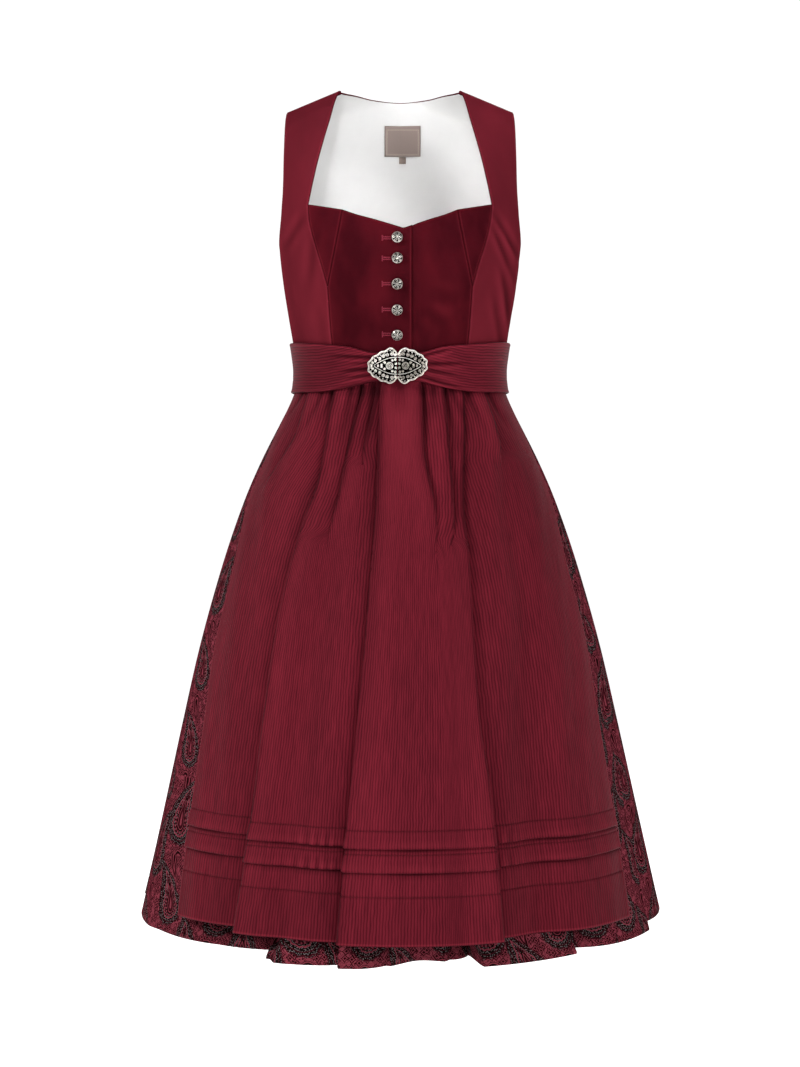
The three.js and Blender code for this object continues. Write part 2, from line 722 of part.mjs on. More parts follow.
// The band narrows where it is gathered into the clasp, which lies aside of the middle. A row's
// level is the distance from the middle, written as a negative number.
const BAND_EDGES = [
  { level: 0, top: -324, bottom: -360 },
  { level: -36, top: -323, bottom: -361 },
  { level: -47, top: -320, bottom: -364 },
  { level: -59, top: -316.5, bottom: -367 },
  { level: -72, top: -314.5, bottom: -370 },
  { level: -96, top: -312, bottom: -373.5 },
  { level: -133, top: -308, bottom: -373 },
];
const BAND_ASIDE = 8;
const CREASED_TO = 30;
const BAND_CREASES = [
  { level: -331, depth: 1.3 },
  { level: -342, depth: 1.7 },
  { level: -353, depth: 1.4 },
];
const CREASE_HALF_WIDTH = 3.6;
const CREASE_LENGTH = 62;
const BAND_OVER_APRON = 2 * LAYER_GAP + APRON_CLOTH + BAND_CLOTH;
const BAND_OVER_SKIRT = LAYER_GAP + BAND_CLOTH;

// The band's surface follows the bodice above the waist seam and the skirt below it.
function bandSurface(angle, level) {
  const above = bodicePoint(angle, Math.max(level, WAIST_SEAM));
  if (level >= WAIST_SEAM) return above;
  const below = sectionPoint(readSection(SKIRT_SECTIONS, level), angle, BODICE_SQUARENESS, level);
  return new THREE.Vector3(below.x, below.y, level);
}

function bandLift(angle) {
  const behind = smoothstep(Math.abs(turnFrom(0, angle)), 86, 96);
  return lerp(BAND_OVER_APRON, BAND_OVER_SKIRT, behind);
}

function bandCreases(angle, level) {
  const x = Math.abs(bandSurface(angle, level).x);
  const strength = 1 - smoothstep(x, CREASED_TO, CREASE_LENGTH);
  const press = (crease) =>
    crease.depth * Math.exp(-(((level - crease.level) / CREASE_HALF_WIDTH) ** 2));
  return -strength * BAND_CREASES.reduce((sum, crease) => sum + press(crease), 0);
}

function bandHalf(side) {
  const near = [0.2, 8, 16, 25, 35, 44, 52, 60];
  const round = spaced(68, 180, 15);
  const rows = [0, 0.22, 0.36, 0.5, 0.64, 0.78, 1];
  const aside = side > 0 ? BAND_ASIDE : 0;
  const places = rows.map((share) =>
    [...near, ...round].map((angle) => {
      const x = angle < 90 ? bandSurface(angle, WAIST_SEAM).x + aside : Infinity;
      const bottom = readTable(BAND_EDGES, -x, "bottom");
      const top = readTable(BAND_EDGES, -x, "top");
      return [side * angle, lerp(bottom, top, share)];
    }),
  );
  return clothWall(bandSurface, places, BAND_CLOTH, { liftAt: bandLift, raiseAt: bandCreases });
}

// ---------------------------------------------------------------- joining solids

function solidOf(geometry) {
  const bare = geometry.index ? geometry.toNonIndexed() : geometry.clone();
  bare.deleteAttribute("normal");
  bare.deleteAttribute("uv");
  const merged = mergeVertices(bare, 1e-3);
  return new wasm.Manifold(
    new wasm.Mesh({
      numProp: 3,
      vertProperties: merged.getAttribute("position").array,
      triVerts: new Uint32Array(merged.index.array),
    }),
  );
}

function geometryOf(solid) {
  const mesh = solid.getMesh();
  const geometry = new THREE.BufferGeometry();
  geometry.setAttribute("position", new THREE.Float32BufferAttribute(mesh.vertProperties, 3));
  return geometry.setIndex([...mesh.triVerts]);
}

// ---------------------------------------------------------------- the clasp

// Each half is a scalloped plate with a raised rim, and a raised rosette and leaves inside it.
const CLASP = { plate: 1.4, rim: 1.0, rimWidth: 1.9, x: -3, z: -341, gap: 0.15, scallop: 1.1 };
const CLASP_LOBES = [
  { x: 0, y: 14 },
  { x: 5, y: 20.6 },
  { x: 11, y: 22.4 },
  { x: 18, y: 18.6 },
  { x: 25, y: 13.6 },
  { x: 32, y: 8.4 },
  { x: 36.4, y: 2.6 },
];

// The outline from the inner top corner round the outer end to the inner bottom corner.
function claspOutline(shrink) {
  const upper = CLASP_LOBES.map(({ x, y }) => new THREE.Vector2(x, y));
  const lower = [...upper].reverse().map(({ x, y }) => new THREE.Vector2(x, -y));
  const corners = [...upper, ...lower];
  const middle = new THREE.Vector2(15, 0);
  const points = [];
  for (let i = 0; i < corners.length - 1; i++) {
    const [from, to] = [corners[i], corners[i + 1]];
    const out = new THREE.Vector2().lerpVectors(from, to, 0.5).sub(middle).normalize();
    points.push(from);
    points.push(new THREE.Vector2().lerpVectors(from, to, 0.5).addScaledVector(out, CLASP.scallop));
  }
  points.push(corners[corners.length - 1]);
  return points.map((p) => {
    const inwards = middle.clone().sub(p).setLength(shrink);
    return p.clone().add(inwards);
  });
}

function extruded(shape, depth, height) {
  const geometry = new THREE.ExtrudeGeometry(shape, { depth, bevelEnabled: false, curveSegments: 5 });
  return geometry.translate(0, 0, height);
}

// A leaf-shaped raised piece between two points of the plate.
function leafShape(from, to, halfWidth) {
  const along = to.clone().sub(from);
  const aside = new THREE.Vector2(-along.y, along.x).setLength(halfWidth);
  const middle = new THREE.Vector2().lerpVectors(from, to, 0.45);
  const shape = new THREE.Shape().moveTo(from.x, from.y);
  shape.quadraticCurveTo(middle.x + aside.x, middle.y + aside.y, to.x, to.y);
  shape.quadraticCurveTo(middle.x - aside.x, middle.y - aside.y, from.x, from.y);
  return shape;
}

const CLASP_LEAVES = [
  { tip: [31.5, 0], width: 5 },
  { tip: [25, 10], width: 4 },
  { tip: [15, 17], width: 4 },
  { tip: [6, 14], width: 4 },
  { tip: [25, -10], width: 4 },
  { tip: [15, -17], width: 4 },
  { tip: [6, -14], width: 4 },
];
const CLASP_HEART = new THREE.Vector2(13, 0);

function claspHalf(side) {
  const plate = solidOf(extruded(new THREE.Shape(claspOutline(0)), CLASP.plate, 0));
  const rimShape = new THREE.Shape(claspOutline(0));
  rimShape.holes.push(new THREE.Path(claspOutline(CLASP.rimWidth).reverse()));
  const overlap = 0.2;
  const raised = CLASP.plate - overlap;
  const rim = solidOf(extruded(rimShape, CLASP.rim + overlap, raised));
  const boss = new THREE.Shape().absarc(CLASP_HEART.x, CLASP_HEART.y, 3.4, 0, 2 * Math.PI);
  const leaves = CLASP_LEAVES.map(({ tip, width }) => {
    const end = new THREE.Vector2(...tip);
    const start = CLASP_HEART.clone().lerp(end, 0.36);
    return solidOf(extruded(leafShape(start, end, width), CLASP.rim + overlap - 0.3, raised));
  });
  const rosette = solidOf(extruded(boss, CLASP.rim + overlap, raised));
  const whole = [rim, rosette, ...leaves].reduce((sum, one) => sum.add(one), plate);
  const geometry = geometryOf(whole).translate(CLASP.gap, 0, 0);
  if (side < 0) geometry.rotateZ(Math.PI);
  return geometry;
}

// The clasp is flat, and rests on the point of the band behind it that stands out most.
function claspDepth() {
  const levels = spaced(BAND_EDGES[0].bottom, BAND_EDGES[0].top, 24);
  const lift = (level) => bandLift(0) + bandCreases(0, level);
  const reach = levels.map((level) => -lifted(bandSurface, 0, level, lift(level)).y);
  return Math.max(...reach) + SEAM_GAP;
}

// ---------------------------------------------------------------- the buttons

const BUTTON = { radius: 6.8, height: 4.6, shank: 1.6, stem: 1.6, x: -3.4, lift: 0.5 };
const BUTTON_LEVELS = [-187, -212, -242.5, -273, -302.5];

// A domed button on a short shank, turned about its axis with its back at height 0.
function buttonGeometry() {
  const { radius, height, shank, stem } = BUTTON;
  const profile = [
    [0, 0],
    [stem, 0],
    [stem, shank],
    [radius * 0.8, shank],
    [radius, shank + 0.9],
    [radius * 0.93, shank + 1.9],
    [radius * 0.66, shank + height * 0.68],
    [radius * 0.3, shank + height * 0.86],
    [0, shank + height * 0.9],
  ].map(([r, h]) => new THREE.Vector2(r, h));
  return new THREE.LatheGeometry(profile, 12);
}

// ---------------------------------------------------------------- materials

const finish = (color, roughness, metalness = 0) =>
  new THREE.MeshStandardMaterial({ color, roughness, metalness, side: THREE.DoubleSide });

const DARK_VELVET = finish(0x4b101b, 0.85);
const SIDE_VELVET = finish(0x6d1b29, 0.8);
const RIBBED_SILK = finish(0x6f1c2a, 0.6);
const PAISLEY_COTTON = finish(0x6b3340, 0.75);
const LINING_COTTON = finish(0xdedede, 0.9);
const LABEL_SATIN = finish(0x8a7a70, 0.7);
const OLD_SILVER = finish(0x9c9890, 0.4, 1);

// ---------------------------------------------------------------- the garment

const dirndl = new THREE.Group();
dirndl.name = "dirndl";

function add(name, geometry, material) {
  const mesh = new THREE.Mesh(geometry, material);
  mesh.name = name;
  dirndl.add(mesh);
  return mesh;
}

const SIDES = [
  { name: "right", sign: -1 },
  { name: "left", sign: 1 },
];

const RIGHT_LINES = [PLACKET_EDGE, 0, UNDERLAP_EDGE];
const LEFT_LINES = [UNDERLAP_EDGE, 0, PLACKET_EDGE + 1, UNDERLAP_FLUSH];
add("centre_front_right", centreFront(-1, RIGHT_LINES, () => 0), DARK_VELVET);
add("centre_front_left", centreFront(1, LEFT_LINES, underlapLift), DARK_VELVET);
for (const { name, sign } of SIDES) {
  add(`bust_inset_${name}`, bustInset(sign), DARK_VELVET);
  add(`side_front_${name}`, sideFront(sign), SIDE_VELVET);
  const sideBack = sideBackPlaces(sign);
  add(`side_back_${name}`, clothWall(bodicePoint, sideBack, VELVET), SIDE_VELVET);
  add(`lining_side_${name}`, liningPanel(sideBack, 0), LINING_COTTON);
}
const backCentre = backCentrePlaces();
add("back_centre", clothWall(bodicePoint, backCentre, VELVET), SIDE_VELVET);
add("lining_centre", liningPanel(backCentre, BACK_ARMHOLE.length), LINING_COTTON);
add("neck_label", labelWall(LABEL), LABEL_SATIN);
add("label_tab", labelWall(LABEL_TAB), LABEL_SATIN);

for (const width of SKIRT_WIDTHS) add(width.name, skirtWidth(width), PAISLEY_COTTON);
add("apron", apron(), RIBBED_SILK);

for (const { name, sign } of SIDES) {
  add(`apron_band_${name}`, bandHalf(sign), RIBBED_SILK);
  const clasp = add(`clasp_${name}`, claspHalf(sign), OLD_SILVER);
  clasp.rotation.x = Math.PI / 2;
  clasp.position.set(CLASP.x, -claspDepth(), CLASP.z);
}

BUTTON_LEVELS.forEach((level, i) => {
  const angle = bodiceAngle(BUTTON.x, level);
  const button = add(`button_${i + 1}`, buttonGeometry(), OLD_SILVER);
  const out = facing(bodicePoint, angle, level);
  button.quaternion.setFromUnitVectors(new THREE.Vector3(0, 1, 0), out);
  button.position.copy(lifted(bodicePoint, angle, level, BUTTON.lift));
});

export default dirndl;
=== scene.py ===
"""A sleeveless dirndl and its apron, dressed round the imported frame, in metres, +Z up and -Y the front.

The cloth is worked out in millimetres from the same sections, seams and folds as the frame's solids,
but finer: rolled seams, crisp pleats, creases, tucks and stitches. The silver is modelled in relief.
"""
import logging
import math
from collections.abc import Callable, Sequence
from dataclasses import dataclass, field
from enum import Enum

import bpy
import numpy as np
from mathutils import Matrix, Vector


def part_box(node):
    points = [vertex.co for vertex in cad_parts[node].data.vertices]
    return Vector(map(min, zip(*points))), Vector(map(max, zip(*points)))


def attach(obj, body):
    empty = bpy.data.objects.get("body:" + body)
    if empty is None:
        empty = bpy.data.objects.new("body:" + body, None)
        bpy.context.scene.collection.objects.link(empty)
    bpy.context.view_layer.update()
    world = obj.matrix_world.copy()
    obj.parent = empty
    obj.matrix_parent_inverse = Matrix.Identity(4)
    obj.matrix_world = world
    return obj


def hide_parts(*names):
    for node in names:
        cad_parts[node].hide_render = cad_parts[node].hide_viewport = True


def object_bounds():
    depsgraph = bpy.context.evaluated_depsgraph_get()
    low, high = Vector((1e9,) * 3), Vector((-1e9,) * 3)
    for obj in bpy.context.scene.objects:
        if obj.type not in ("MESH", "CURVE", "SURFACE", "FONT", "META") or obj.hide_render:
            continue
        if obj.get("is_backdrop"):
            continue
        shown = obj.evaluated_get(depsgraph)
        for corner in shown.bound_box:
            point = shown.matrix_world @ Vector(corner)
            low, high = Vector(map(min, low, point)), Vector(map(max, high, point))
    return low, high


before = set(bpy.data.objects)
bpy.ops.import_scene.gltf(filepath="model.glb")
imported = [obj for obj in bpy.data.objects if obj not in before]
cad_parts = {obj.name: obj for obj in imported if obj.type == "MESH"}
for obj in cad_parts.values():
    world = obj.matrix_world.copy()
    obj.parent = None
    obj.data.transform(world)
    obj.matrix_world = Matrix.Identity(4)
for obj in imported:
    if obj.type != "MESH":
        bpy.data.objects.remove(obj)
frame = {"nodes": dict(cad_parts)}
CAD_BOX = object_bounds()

LOG = logging.getLogger("dirndl")
Array = np.ndarray
Surface = Callable[[Array, Array], Array]

MM = 0.001
DEGREE = math.pi / 180

# ------------------------------------------------------------------ sizes shared by the garment

SEAM_GAP = 0.3
DRAWN_BACK = 0.06
LAYER_GAP = 0.7
LABEL_GAP = 0.9
LINING_MARGIN = 4.2
VELVET = 1.5
LINING = 1.0
SKIRT_CLOTH = 1.2
APRON_CLOTH = 1.2
BAND_CLOTH = 2.0
LABEL_CLOTH = 0.7

WAIST_SEAM = -355.0
SKIRT_HEM = -1033.0
APRON_HEM = -1005.0
BELOW_APRON = APRON_HEM - 4
PLACKET_EDGE = 15.0
UNDERLAP_EDGE = -13.0
UNDERLAP_FLUSH = 25.0
NECK_POINT_X = 75.5


class Side(Enum):
    """The wearer's two sides, as the sign of x."""

    RIGHT = -1
    LEFT = 1

    @property
    def word(self) -> str:
        """The side's name in a piece's name."""
        return self.name.lower()


class Low(Enum):
    """The side of a fold that drops behind its lip."""

    TO_RIGHT = -1
    SOFT = 0
    TO_LEFT = 1


# ------------------------------------------------------------------ curves and tables


def eased(value: Array | float, start: float, stop: float) -> Array:
    """Rises smoothly from 0 at start to 1 at stop.

    Args:
        value: Where to read the rise.
        start: Where it is 0.
        stop: Where it is 1.

    Returns:
        The share of the rise, from 0 to 1.
    """
    share = np.clip((np.asarray(value, float) - start) / (stop - start), 0, 1)
    return share * share * (3 - 2 * share)


def hump(distance: Array, width: float) -> Array:
    """A soft hump of height 1, for a distance from its middle and its half width."""
    return np.exp(-np.square(distance / width))


def mixed(start: Array | float, stop: Array | float, share: Array | float) -> Array:
    """The value a share of the way from start to stop."""
    return start + (stop - start) * share


def smooth_curve(knots: Array, values: Array, at: Array) -> Array:
    """Reads a smooth curve through points, held level past both ends.

    Args:
        knots: Rising places of the points.
        values: The points' values.
        at: The places to read.

    Returns:
        The curve's value at each place.
    """
    last = len(knots) - 1
    at = np.clip(at, knots[0], knots[last])
    here = np.clip(np.searchsorted(knots, at, side="right") - 1, 0, last - 1)
    behind, ahead = np.maximum(here - 1, 0), np.minimum(here + 2, last)
    run = knots[here + 1] - knots[here]
    before = (values[here + 1] - values[behind]) / (knots[here + 1] - knots[behind]) * run
    after = (values[ahead] - values[here]) / (knots[ahead] - knots[here]) * run
    share = (at - knots[here]) / run
    start = values[here]
    rise = values[here + 1] - start
    bend = before + after - 2 * rise
    return start + share * (before + share * (3 * rise - 2 * before - after + share * bend))


def smooth_line(rows: Sequence[tuple[float, float]], steps: int = 8) -> Array:
    """Points on a smooth line through rows of two numbers.

    Args:
        rows: The rows.
        steps: How many steps lead from one row to the next.

    Returns:
        The points, in which the rows are every one of that number.
    """
    corners = np.array(rows, float)
    knots = np.concatenate([[0], np.cumsum(np.linalg.norm(np.diff(corners, axis=0), axis=-1))])
    spans = [np.linspace(start, stop, steps, endpoint=False) for start, stop in zip(knots, knots[1:])]
    at = np.concatenate([*spans, [knots[-1]]])
    return np.stack([smooth_curve(knots, column, at) for column in corners.T], -1)


class Table:
    """Rows of named columns with falling levels, read on a smooth curve between them."""

    def __init__(self, names: str, *rows: tuple[float, ...]) -> None:
        """Keeps the rows.

        Args:
            names: The columns' names, level first, parted by blanks.
            rows: One tuple of numbers for each row.
        """
        values = np.array(rows, float)
        self.knots = -values[:, 0]
        self.columns = dict(zip(names.split()[1:], values[:, 1:].T))

    def read(self, name: str, level: Array | float) -> Array:
        """The named column's value at each level."""
        return smooth_curve(self.knots, self.columns[name], -np.asarray(level, float))


def section_point(sizes: tuple[Array, Array, Array], angle: Array, square: Array, z: Array) -> Array:
    """A point of a horizontal section, from 0 degrees at the front through 90 at the wearer's left.

    Args:
        sizes: The section's half width and its reach to the front and the back.
        angle: Degrees round the section.
        square: How square it is, where 2 is an ellipse.
        z: Its height.

    Returns:
        Points with x, y and z on the last axis.
    """
    half, front, back = sizes
    across, ahead = np.sin(angle * DEGREE), np.cos(angle * DEGREE)
    depth = np.where(ahead > 0, front, back)
    x = half * np.sign(across) * np.abs(across) ** (2 / square)
    y = -depth * np.sign(ahead) * np.abs(ahead) ** (2 / square)
    return np.stack(np.broadcast_arrays(x, y, z), -1)


def angle_of_share(share: Array, square: Array) -> Array:
    """The angle at which a section reaches a share of its half width, keeping the share's sign."""
    bounded = np.clip(np.abs(share), 0, 1)
    return np.sign(share) * np.arcsin(bounded ** (square / 2)) / DEGREE


def turn_from(start: Array, stop: Array) -> Array:
    """The shorter way round from one angle to another, in degrees."""
    return (stop - start + 180) % 360 - 180


# ------------------------------------------------------------------ the garment's forms


class BodiceForm:
    """The worn form of the bodice. Level follows the height, but slopes with the shoulders."""

    square = 2.4
    slope = 0.406
    slope_middle = 110.0
    rounding = 26.0
    reach = -190.0
    cup = {"x": 80.0, "level": -222.0, "width": 42.0, "height": 48.0, "depth": 9.0}
    sections = Table(
        "level half front back",
        (0, 176, 40, 42),
        (-30, 172, 56, 62),
        (-60, 168, 76, 80),
        (-100, 161, 97, 96),
        (-145, 156, 117, 104),
        (-190, 154, 127, 104),
        (-235, 149, 130, 99),
        (-280, 142, 121, 92),
        (-310, 137, 111, 88),
        (-340, 133, 103, 87),
        (WAIST_SEAM, 133, 101, 88),
    )

    def shoulder_slope(self, level: Array) -> Array:
        """How steeply a line of one level falls away from the neck."""
        return self.slope * eased(level, self.reach, 0)

    def point(self, angle: Array, level: Array) -> Array:
        """Points of the form.

        Args:
            angle: Degrees round the body.
            level: Heights, before the shoulders' slope.

        Returns:
            Points in millimetres.
        """
        from_ridge = np.clip(-level / self.rounding, 0, 1)
        rounded = np.sqrt(1 - (1 - from_ridge) ** 2)
        read = self.sections.read
        sizes = (read("half", level), read("front", level) * rounded, read("back", level) * rounded)
        points = section_point(sizes, angle, self.square, level)
        out = np.abs(points[..., 0])
        points[..., 2] -= self.shoulder_slope(level) * (out - self.slope_middle)
        fullness = hump(out - self.cup["x"], self.cup["width"])
        fullness = fullness * hump(level - self.cup["level"], self.cup["height"])
        points[..., 1] -= np.where(np.cos(angle * DEGREE) > 0, self.cup["depth"] * fullness, 0)
        return points

    def angle(self, x: Array | float, level: Array | float) -> Array:
        """The angle on the front at which the form has this x."""
        return angle_of_share(np.asarray(x, float) / self.sections.read("half", level), self.square)

    def level_of_height(self, height: Array, x: Array) -> Array:
        """The level that a height has at a distance from the middle, closed in on step by step."""
        level = height
        for _ in range(30):
            level = height + self.shoulder_slope(level) * (np.abs(x) - self.slope_middle)
        return level

    def seat(self, x: float, level: float, lift: float) -> Matrix:
        """A place on the front for a small piece.

        Args:
            x: Its distance from the middle.
            level: Its level.
            lift: How far it stands off the form.

        Returns:
            A matrix whose x runs across, y up and z outwards, in metres.
        """
        step = 0.05
        angle = float(self.angle(x, level))
        here = self.point(np.array(angle), np.array(level))
        across = self.point(np.array(angle + step), np.array(level)) - here
        up = self.point(np.array(angle), np.array(level + step)) - here
        return seat_matrix(here, across, up, lift)


def seat_matrix(here: Array, across: Array, up: Array, lift: float) -> Matrix:
    """A place on cloth from two directions in it.

    Args:
        here: The point, in millimetres.
        across: A direction across the cloth.
        up: A direction up the cloth.
        lift: How far the place stands off it, in millimetres.

    Returns:
        A matrix whose x runs across and z outwards, in metres.
    """
    x_axis = Vector(across).normalized()
    outwards = x_axis.cross(Vector(up)).normalized()
    y_axis = outwards.cross(x_axis)
    turn = Matrix((x_axis, y_axis, outwards)).transposed().to_4x4()
    return Matrix.Translation((Vector(here) + outwards * lift) * MM) @ turn


@dataclass(frozen=True)
class Fold:
    """A fold of the skirt or apron, from rows of level, place and depth.

    A place is a share of the half width, or degrees round where in_degrees is set.
    """

    low: Low
    reach: float
    rows: tuple[tuple[float, float, float], ...]
    in_degrees: bool = False

    @property
    def table(self) -> Table:
        """The rows as a table."""
        return Table("level place depth", *self.rows)


class SkirtForm:
    """The flared form that the skirt and the apron hang in, with their folds."""

    hem_square = 2.05
    least_reach = 14.0
    lip_roundness = 2.0
    sections = Table(
        "level half front back",
        (WAIST_SEAM, 133, 101, 88),
        (-372, 136, 104, 92),
        (-406, 153, 121, 112),
        (-457, 179, 146, 140),
        (-509, 202, 170, 167),
        (-587, 230, 203, 203),
        (-691, 261, 237, 241),
        (-796, 287, 266, 274),
        (-901, 312, 294, 304),
        (SKIRT_HEM, 344, 322, 338),
    )

    def way_down(self, level: Array) -> Array:
        """The share of the way from the waist seam to the hem."""
        return np.clip((WAIST_SEAM - level) / (WAIST_SEAM - SKIRT_HEM), 0, 1)

    def square(self, level: Array) -> Array:
        """How square the form is at a level."""
        return mixed(BodiceForm.square, self.hem_square, eased(self.way_down(level), 0, 0.4))

    def radius(self, level: Array) -> Array:
        """The mean of the half width and the reach to the front."""
        return (self.sections.read("half", level) + self.sections.read("front", level)) / 2

    def point(self, angle: Array, level: Array, drop: Array) -> Array:
        """Points of the form, moved in towards its axis.

        Args:
            angle: Degrees round.
            level: Heights.
            drop: How far in each point lies.

        Returns:
            Points in millimetres.
        """
        read = self.sections.read
        sizes = (read("half", level), read("front", level), read("back", level))
        points = section_point(sizes, angle, self.square(level), level)
        flat = points * (1, 1, 0)
        return points - flat / np.linalg.norm(flat, axis=-1, keepdims=True) * drop[..., None]

    def place(self, fold: Fold, level: Array) -> Array:
        """The angle of a fold's lip at each level."""
        place = fold.table.read("place", level)
        return place if fold.in_degrees else angle_of_share(place, self.square(level))

    def lip(self, depth: Array) -> Array:
        """How wide the step behind a lip is, for its depth."""
        return self.lip_roundness * np.sqrt(np.maximum(depth, 0.5))

    def past(self, fold: Fold, angle: Array, level: Array) -> Array:
        """How far points lie past a fold's lip, in millimetres."""
        return turn_from(self.place(fold, level), angle) * DEGREE * self.radius(level)

    def drop(self, folds: Sequence[Fold], angle: Array, level: Array) -> Array:
        """How far the cloth lies behind the form, from all the folds.

        Args:
            folds: The folds.
            angle: Degrees round.
            level: Heights.

        Returns:
            Depths in millimetres.
        """
        total = np.zeros(np.broadcast(angle, level).shape)
        for fold in folds:
            past = self.past(fold, angle, level)
            depth = np.maximum(fold.table.read("depth", level), 0)
            reach = mixed(self.least_reach, fold.reach, self.way_down(level))
            if fold.low is Low.SOFT:
                total += depth * np.exp(-np.square(past / reach))
                continue
            lip = self.lip(depth)
            beyond = past * fold.low.value
            behind = np.clip(beyond / lip, 0, 1)
            step = behind * behind * (3 - 2 * behind)
            total += depth * step * np.exp(-np.maximum(beyond - lip, 0) / reach)
        return total

    def gleam(self, folds: Sequence[Fold], angle: Array, level: Array) -> Array:
        """Painted light of the folds: a painted highlight up to 1 along a lip, and painted shade down to -1
        in the hollow behind it.

        Args:
            folds: The folds.
            angle: Degrees round.
            level: Heights.

        Returns:
            Shades from -1 to 1.
        """
        total = np.zeros(np.broadcast(angle, level).shape)
        fading = mixed(1, 0.45, eased(self.way_down(level), 0.1, 0.4))
        for fold in folds:
            past = self.past(fold, angle, level)
            depth = np.clip(fold.table.read("depth", level) / 8, 0, 1) * fading
            if fold.low is Low.SOFT:
                total -= 0.3 * depth * hump(past, 24)
                continue
            beyond = past * fold.low.value
            width = mixed(9, 16, eased(self.way_down(level), 0, 0.3))
            behind = np.where(beyond > 0, np.exp(-beyond / width), np.exp(beyond / 1.5))
            total += depth * (0.4 * hump(beyond + 9, 8) - 0.95 * behind)
        return np.clip(total, -1, 1)

    def slide(self, folds: Sequence[Fold], angle: Array, level: Array) -> Array:
        """How far each point slides over the step behind a lip, which gives a pleat its crisp edge.

        Args:
            folds: The folds.
            angle: Degrees round.
            level: Heights.

        Returns:
            Turns in degrees.
        """
        total = np.zeros(np.broadcast(angle, level).shape)
        for fold in folds:
            if fold.low is Low.SOFT:
                continue
            depth = np.maximum(fold.table.read("depth", level), 0)
            lip = self.lip(depth)
            beyond = self.past(fold, angle, level) * fold.low.value
            spread = np.where(beyond > 0, 0.75 * lip, 12.0)
            over = 0.95 * lip * np.clip(depth / 4, 0, 1) * np.exp(-np.square(beyond / spread))
            total += fold.low.value * over / self.radius(level) / DEGREE
        return total


BODICE = BodiceForm()
SKIRT = SkirtForm()

# ------------------------------------------------------------------ cloth as meshes

# Distances from an edge at which a wall of cloth has points, where it rolls into its seam.
ROLL_STEPS = (0.0, 0.35, 0.8, 1.4, 2.2, 3.4, 5.0)
ROLL_ROOM = 16.0


def paced(length: float, count: int) -> Array:
    """Shares along a length, closer together at both ends, where the cloth rolls over.

    Args:
        length: The length in millimetres.
        count: How many even steps lie between the rolled ends.

    Returns:
        Rising shares from 0 to 1.
    """
    near = np.array(ROLL_STEPS) * min(1, length / ROLL_ROOM) / length
    inner = np.linspace(near[-1], 1 - near[-1], count + 1)
    return np.concatenate([near[:-1], inner, 1 - near[-2::-1]])


def walked(grid: Array, axis: int) -> Array:
    """The distance walked over a grid of points along one of its axes, from its start."""
    steps = np.linalg.norm(np.diff(grid, axis=axis), axis=-1)
    pad = [(0, 0), (0, 0)]
    pad[axis] = (1, 0)
    return np.cumsum(np.pad(steps, pad), axis=axis)


def facing(grid: Array) -> Array:
    """The directions that a grid of points faces, away from the garment's axis."""
    normals = np.cross(np.gradient(grid, axis=1), np.gradient(grid, axis=0))
    normals /= np.maximum(np.linalg.norm(normals, axis=-1, keepdims=True), 1e-9)
    outwards = float((normals * grid * (1, 1, 0)).sum())
    return normals if outwards > 0 else -normals


@dataclass
class Cut:
    """A panel's outline as two edges that run up it together, each rows of angle and level."""

    one: Array
    other: Array
    rows: int = 80
    columns: int = 26
    warp: Callable[[Array, Array, Array], Array] | None = None
    short_top: float = 0.0
    short_sides_above: float | None = None

    def places(self, surface: Surface) -> Array:
        """The panel's grid of places.

        Args:
            surface: The form it lies on.

        Returns:
            An array of rows, columns, and angle and level.
        """
        edges = (self.one, self.other)
        spans = [np.linalg.norm(np.diff(surface(*edge.T), axis=0), axis=-1) for edge in edges]
        knots = np.concatenate([[0], np.cumsum(np.maximum(np.mean(spans, axis=0), 0.01))])
        at = paced(knots[-1], self.rows) * (knots[-1] - self.short_top)
        fine = [np.stack([np.interp(at, knots, column) for column in edge.T], -1) for edge in edges]
        widths = np.linalg.norm(surface(*fine[0].T) - surface(*fine[1].T), axis=-1)
        across = np.stack([paced(max(width, 1), self.columns) for width in widths])
        if self.short_sides_above is not None:
            level = self.short_sides_above
            short = LINING_MARGIN * eased(fine[0][:, 1], level - 4, level + 2) / widths
            across = short[:, None] + across * (1 - 2 * short[:, None])
        places = mixed(fine[0][:, None, :], fine[1][:, None, :], across[..., None])
        if self.warp:
            places[..., 1] += self.warp(places[..., 0], places[..., 1], across)
        return places


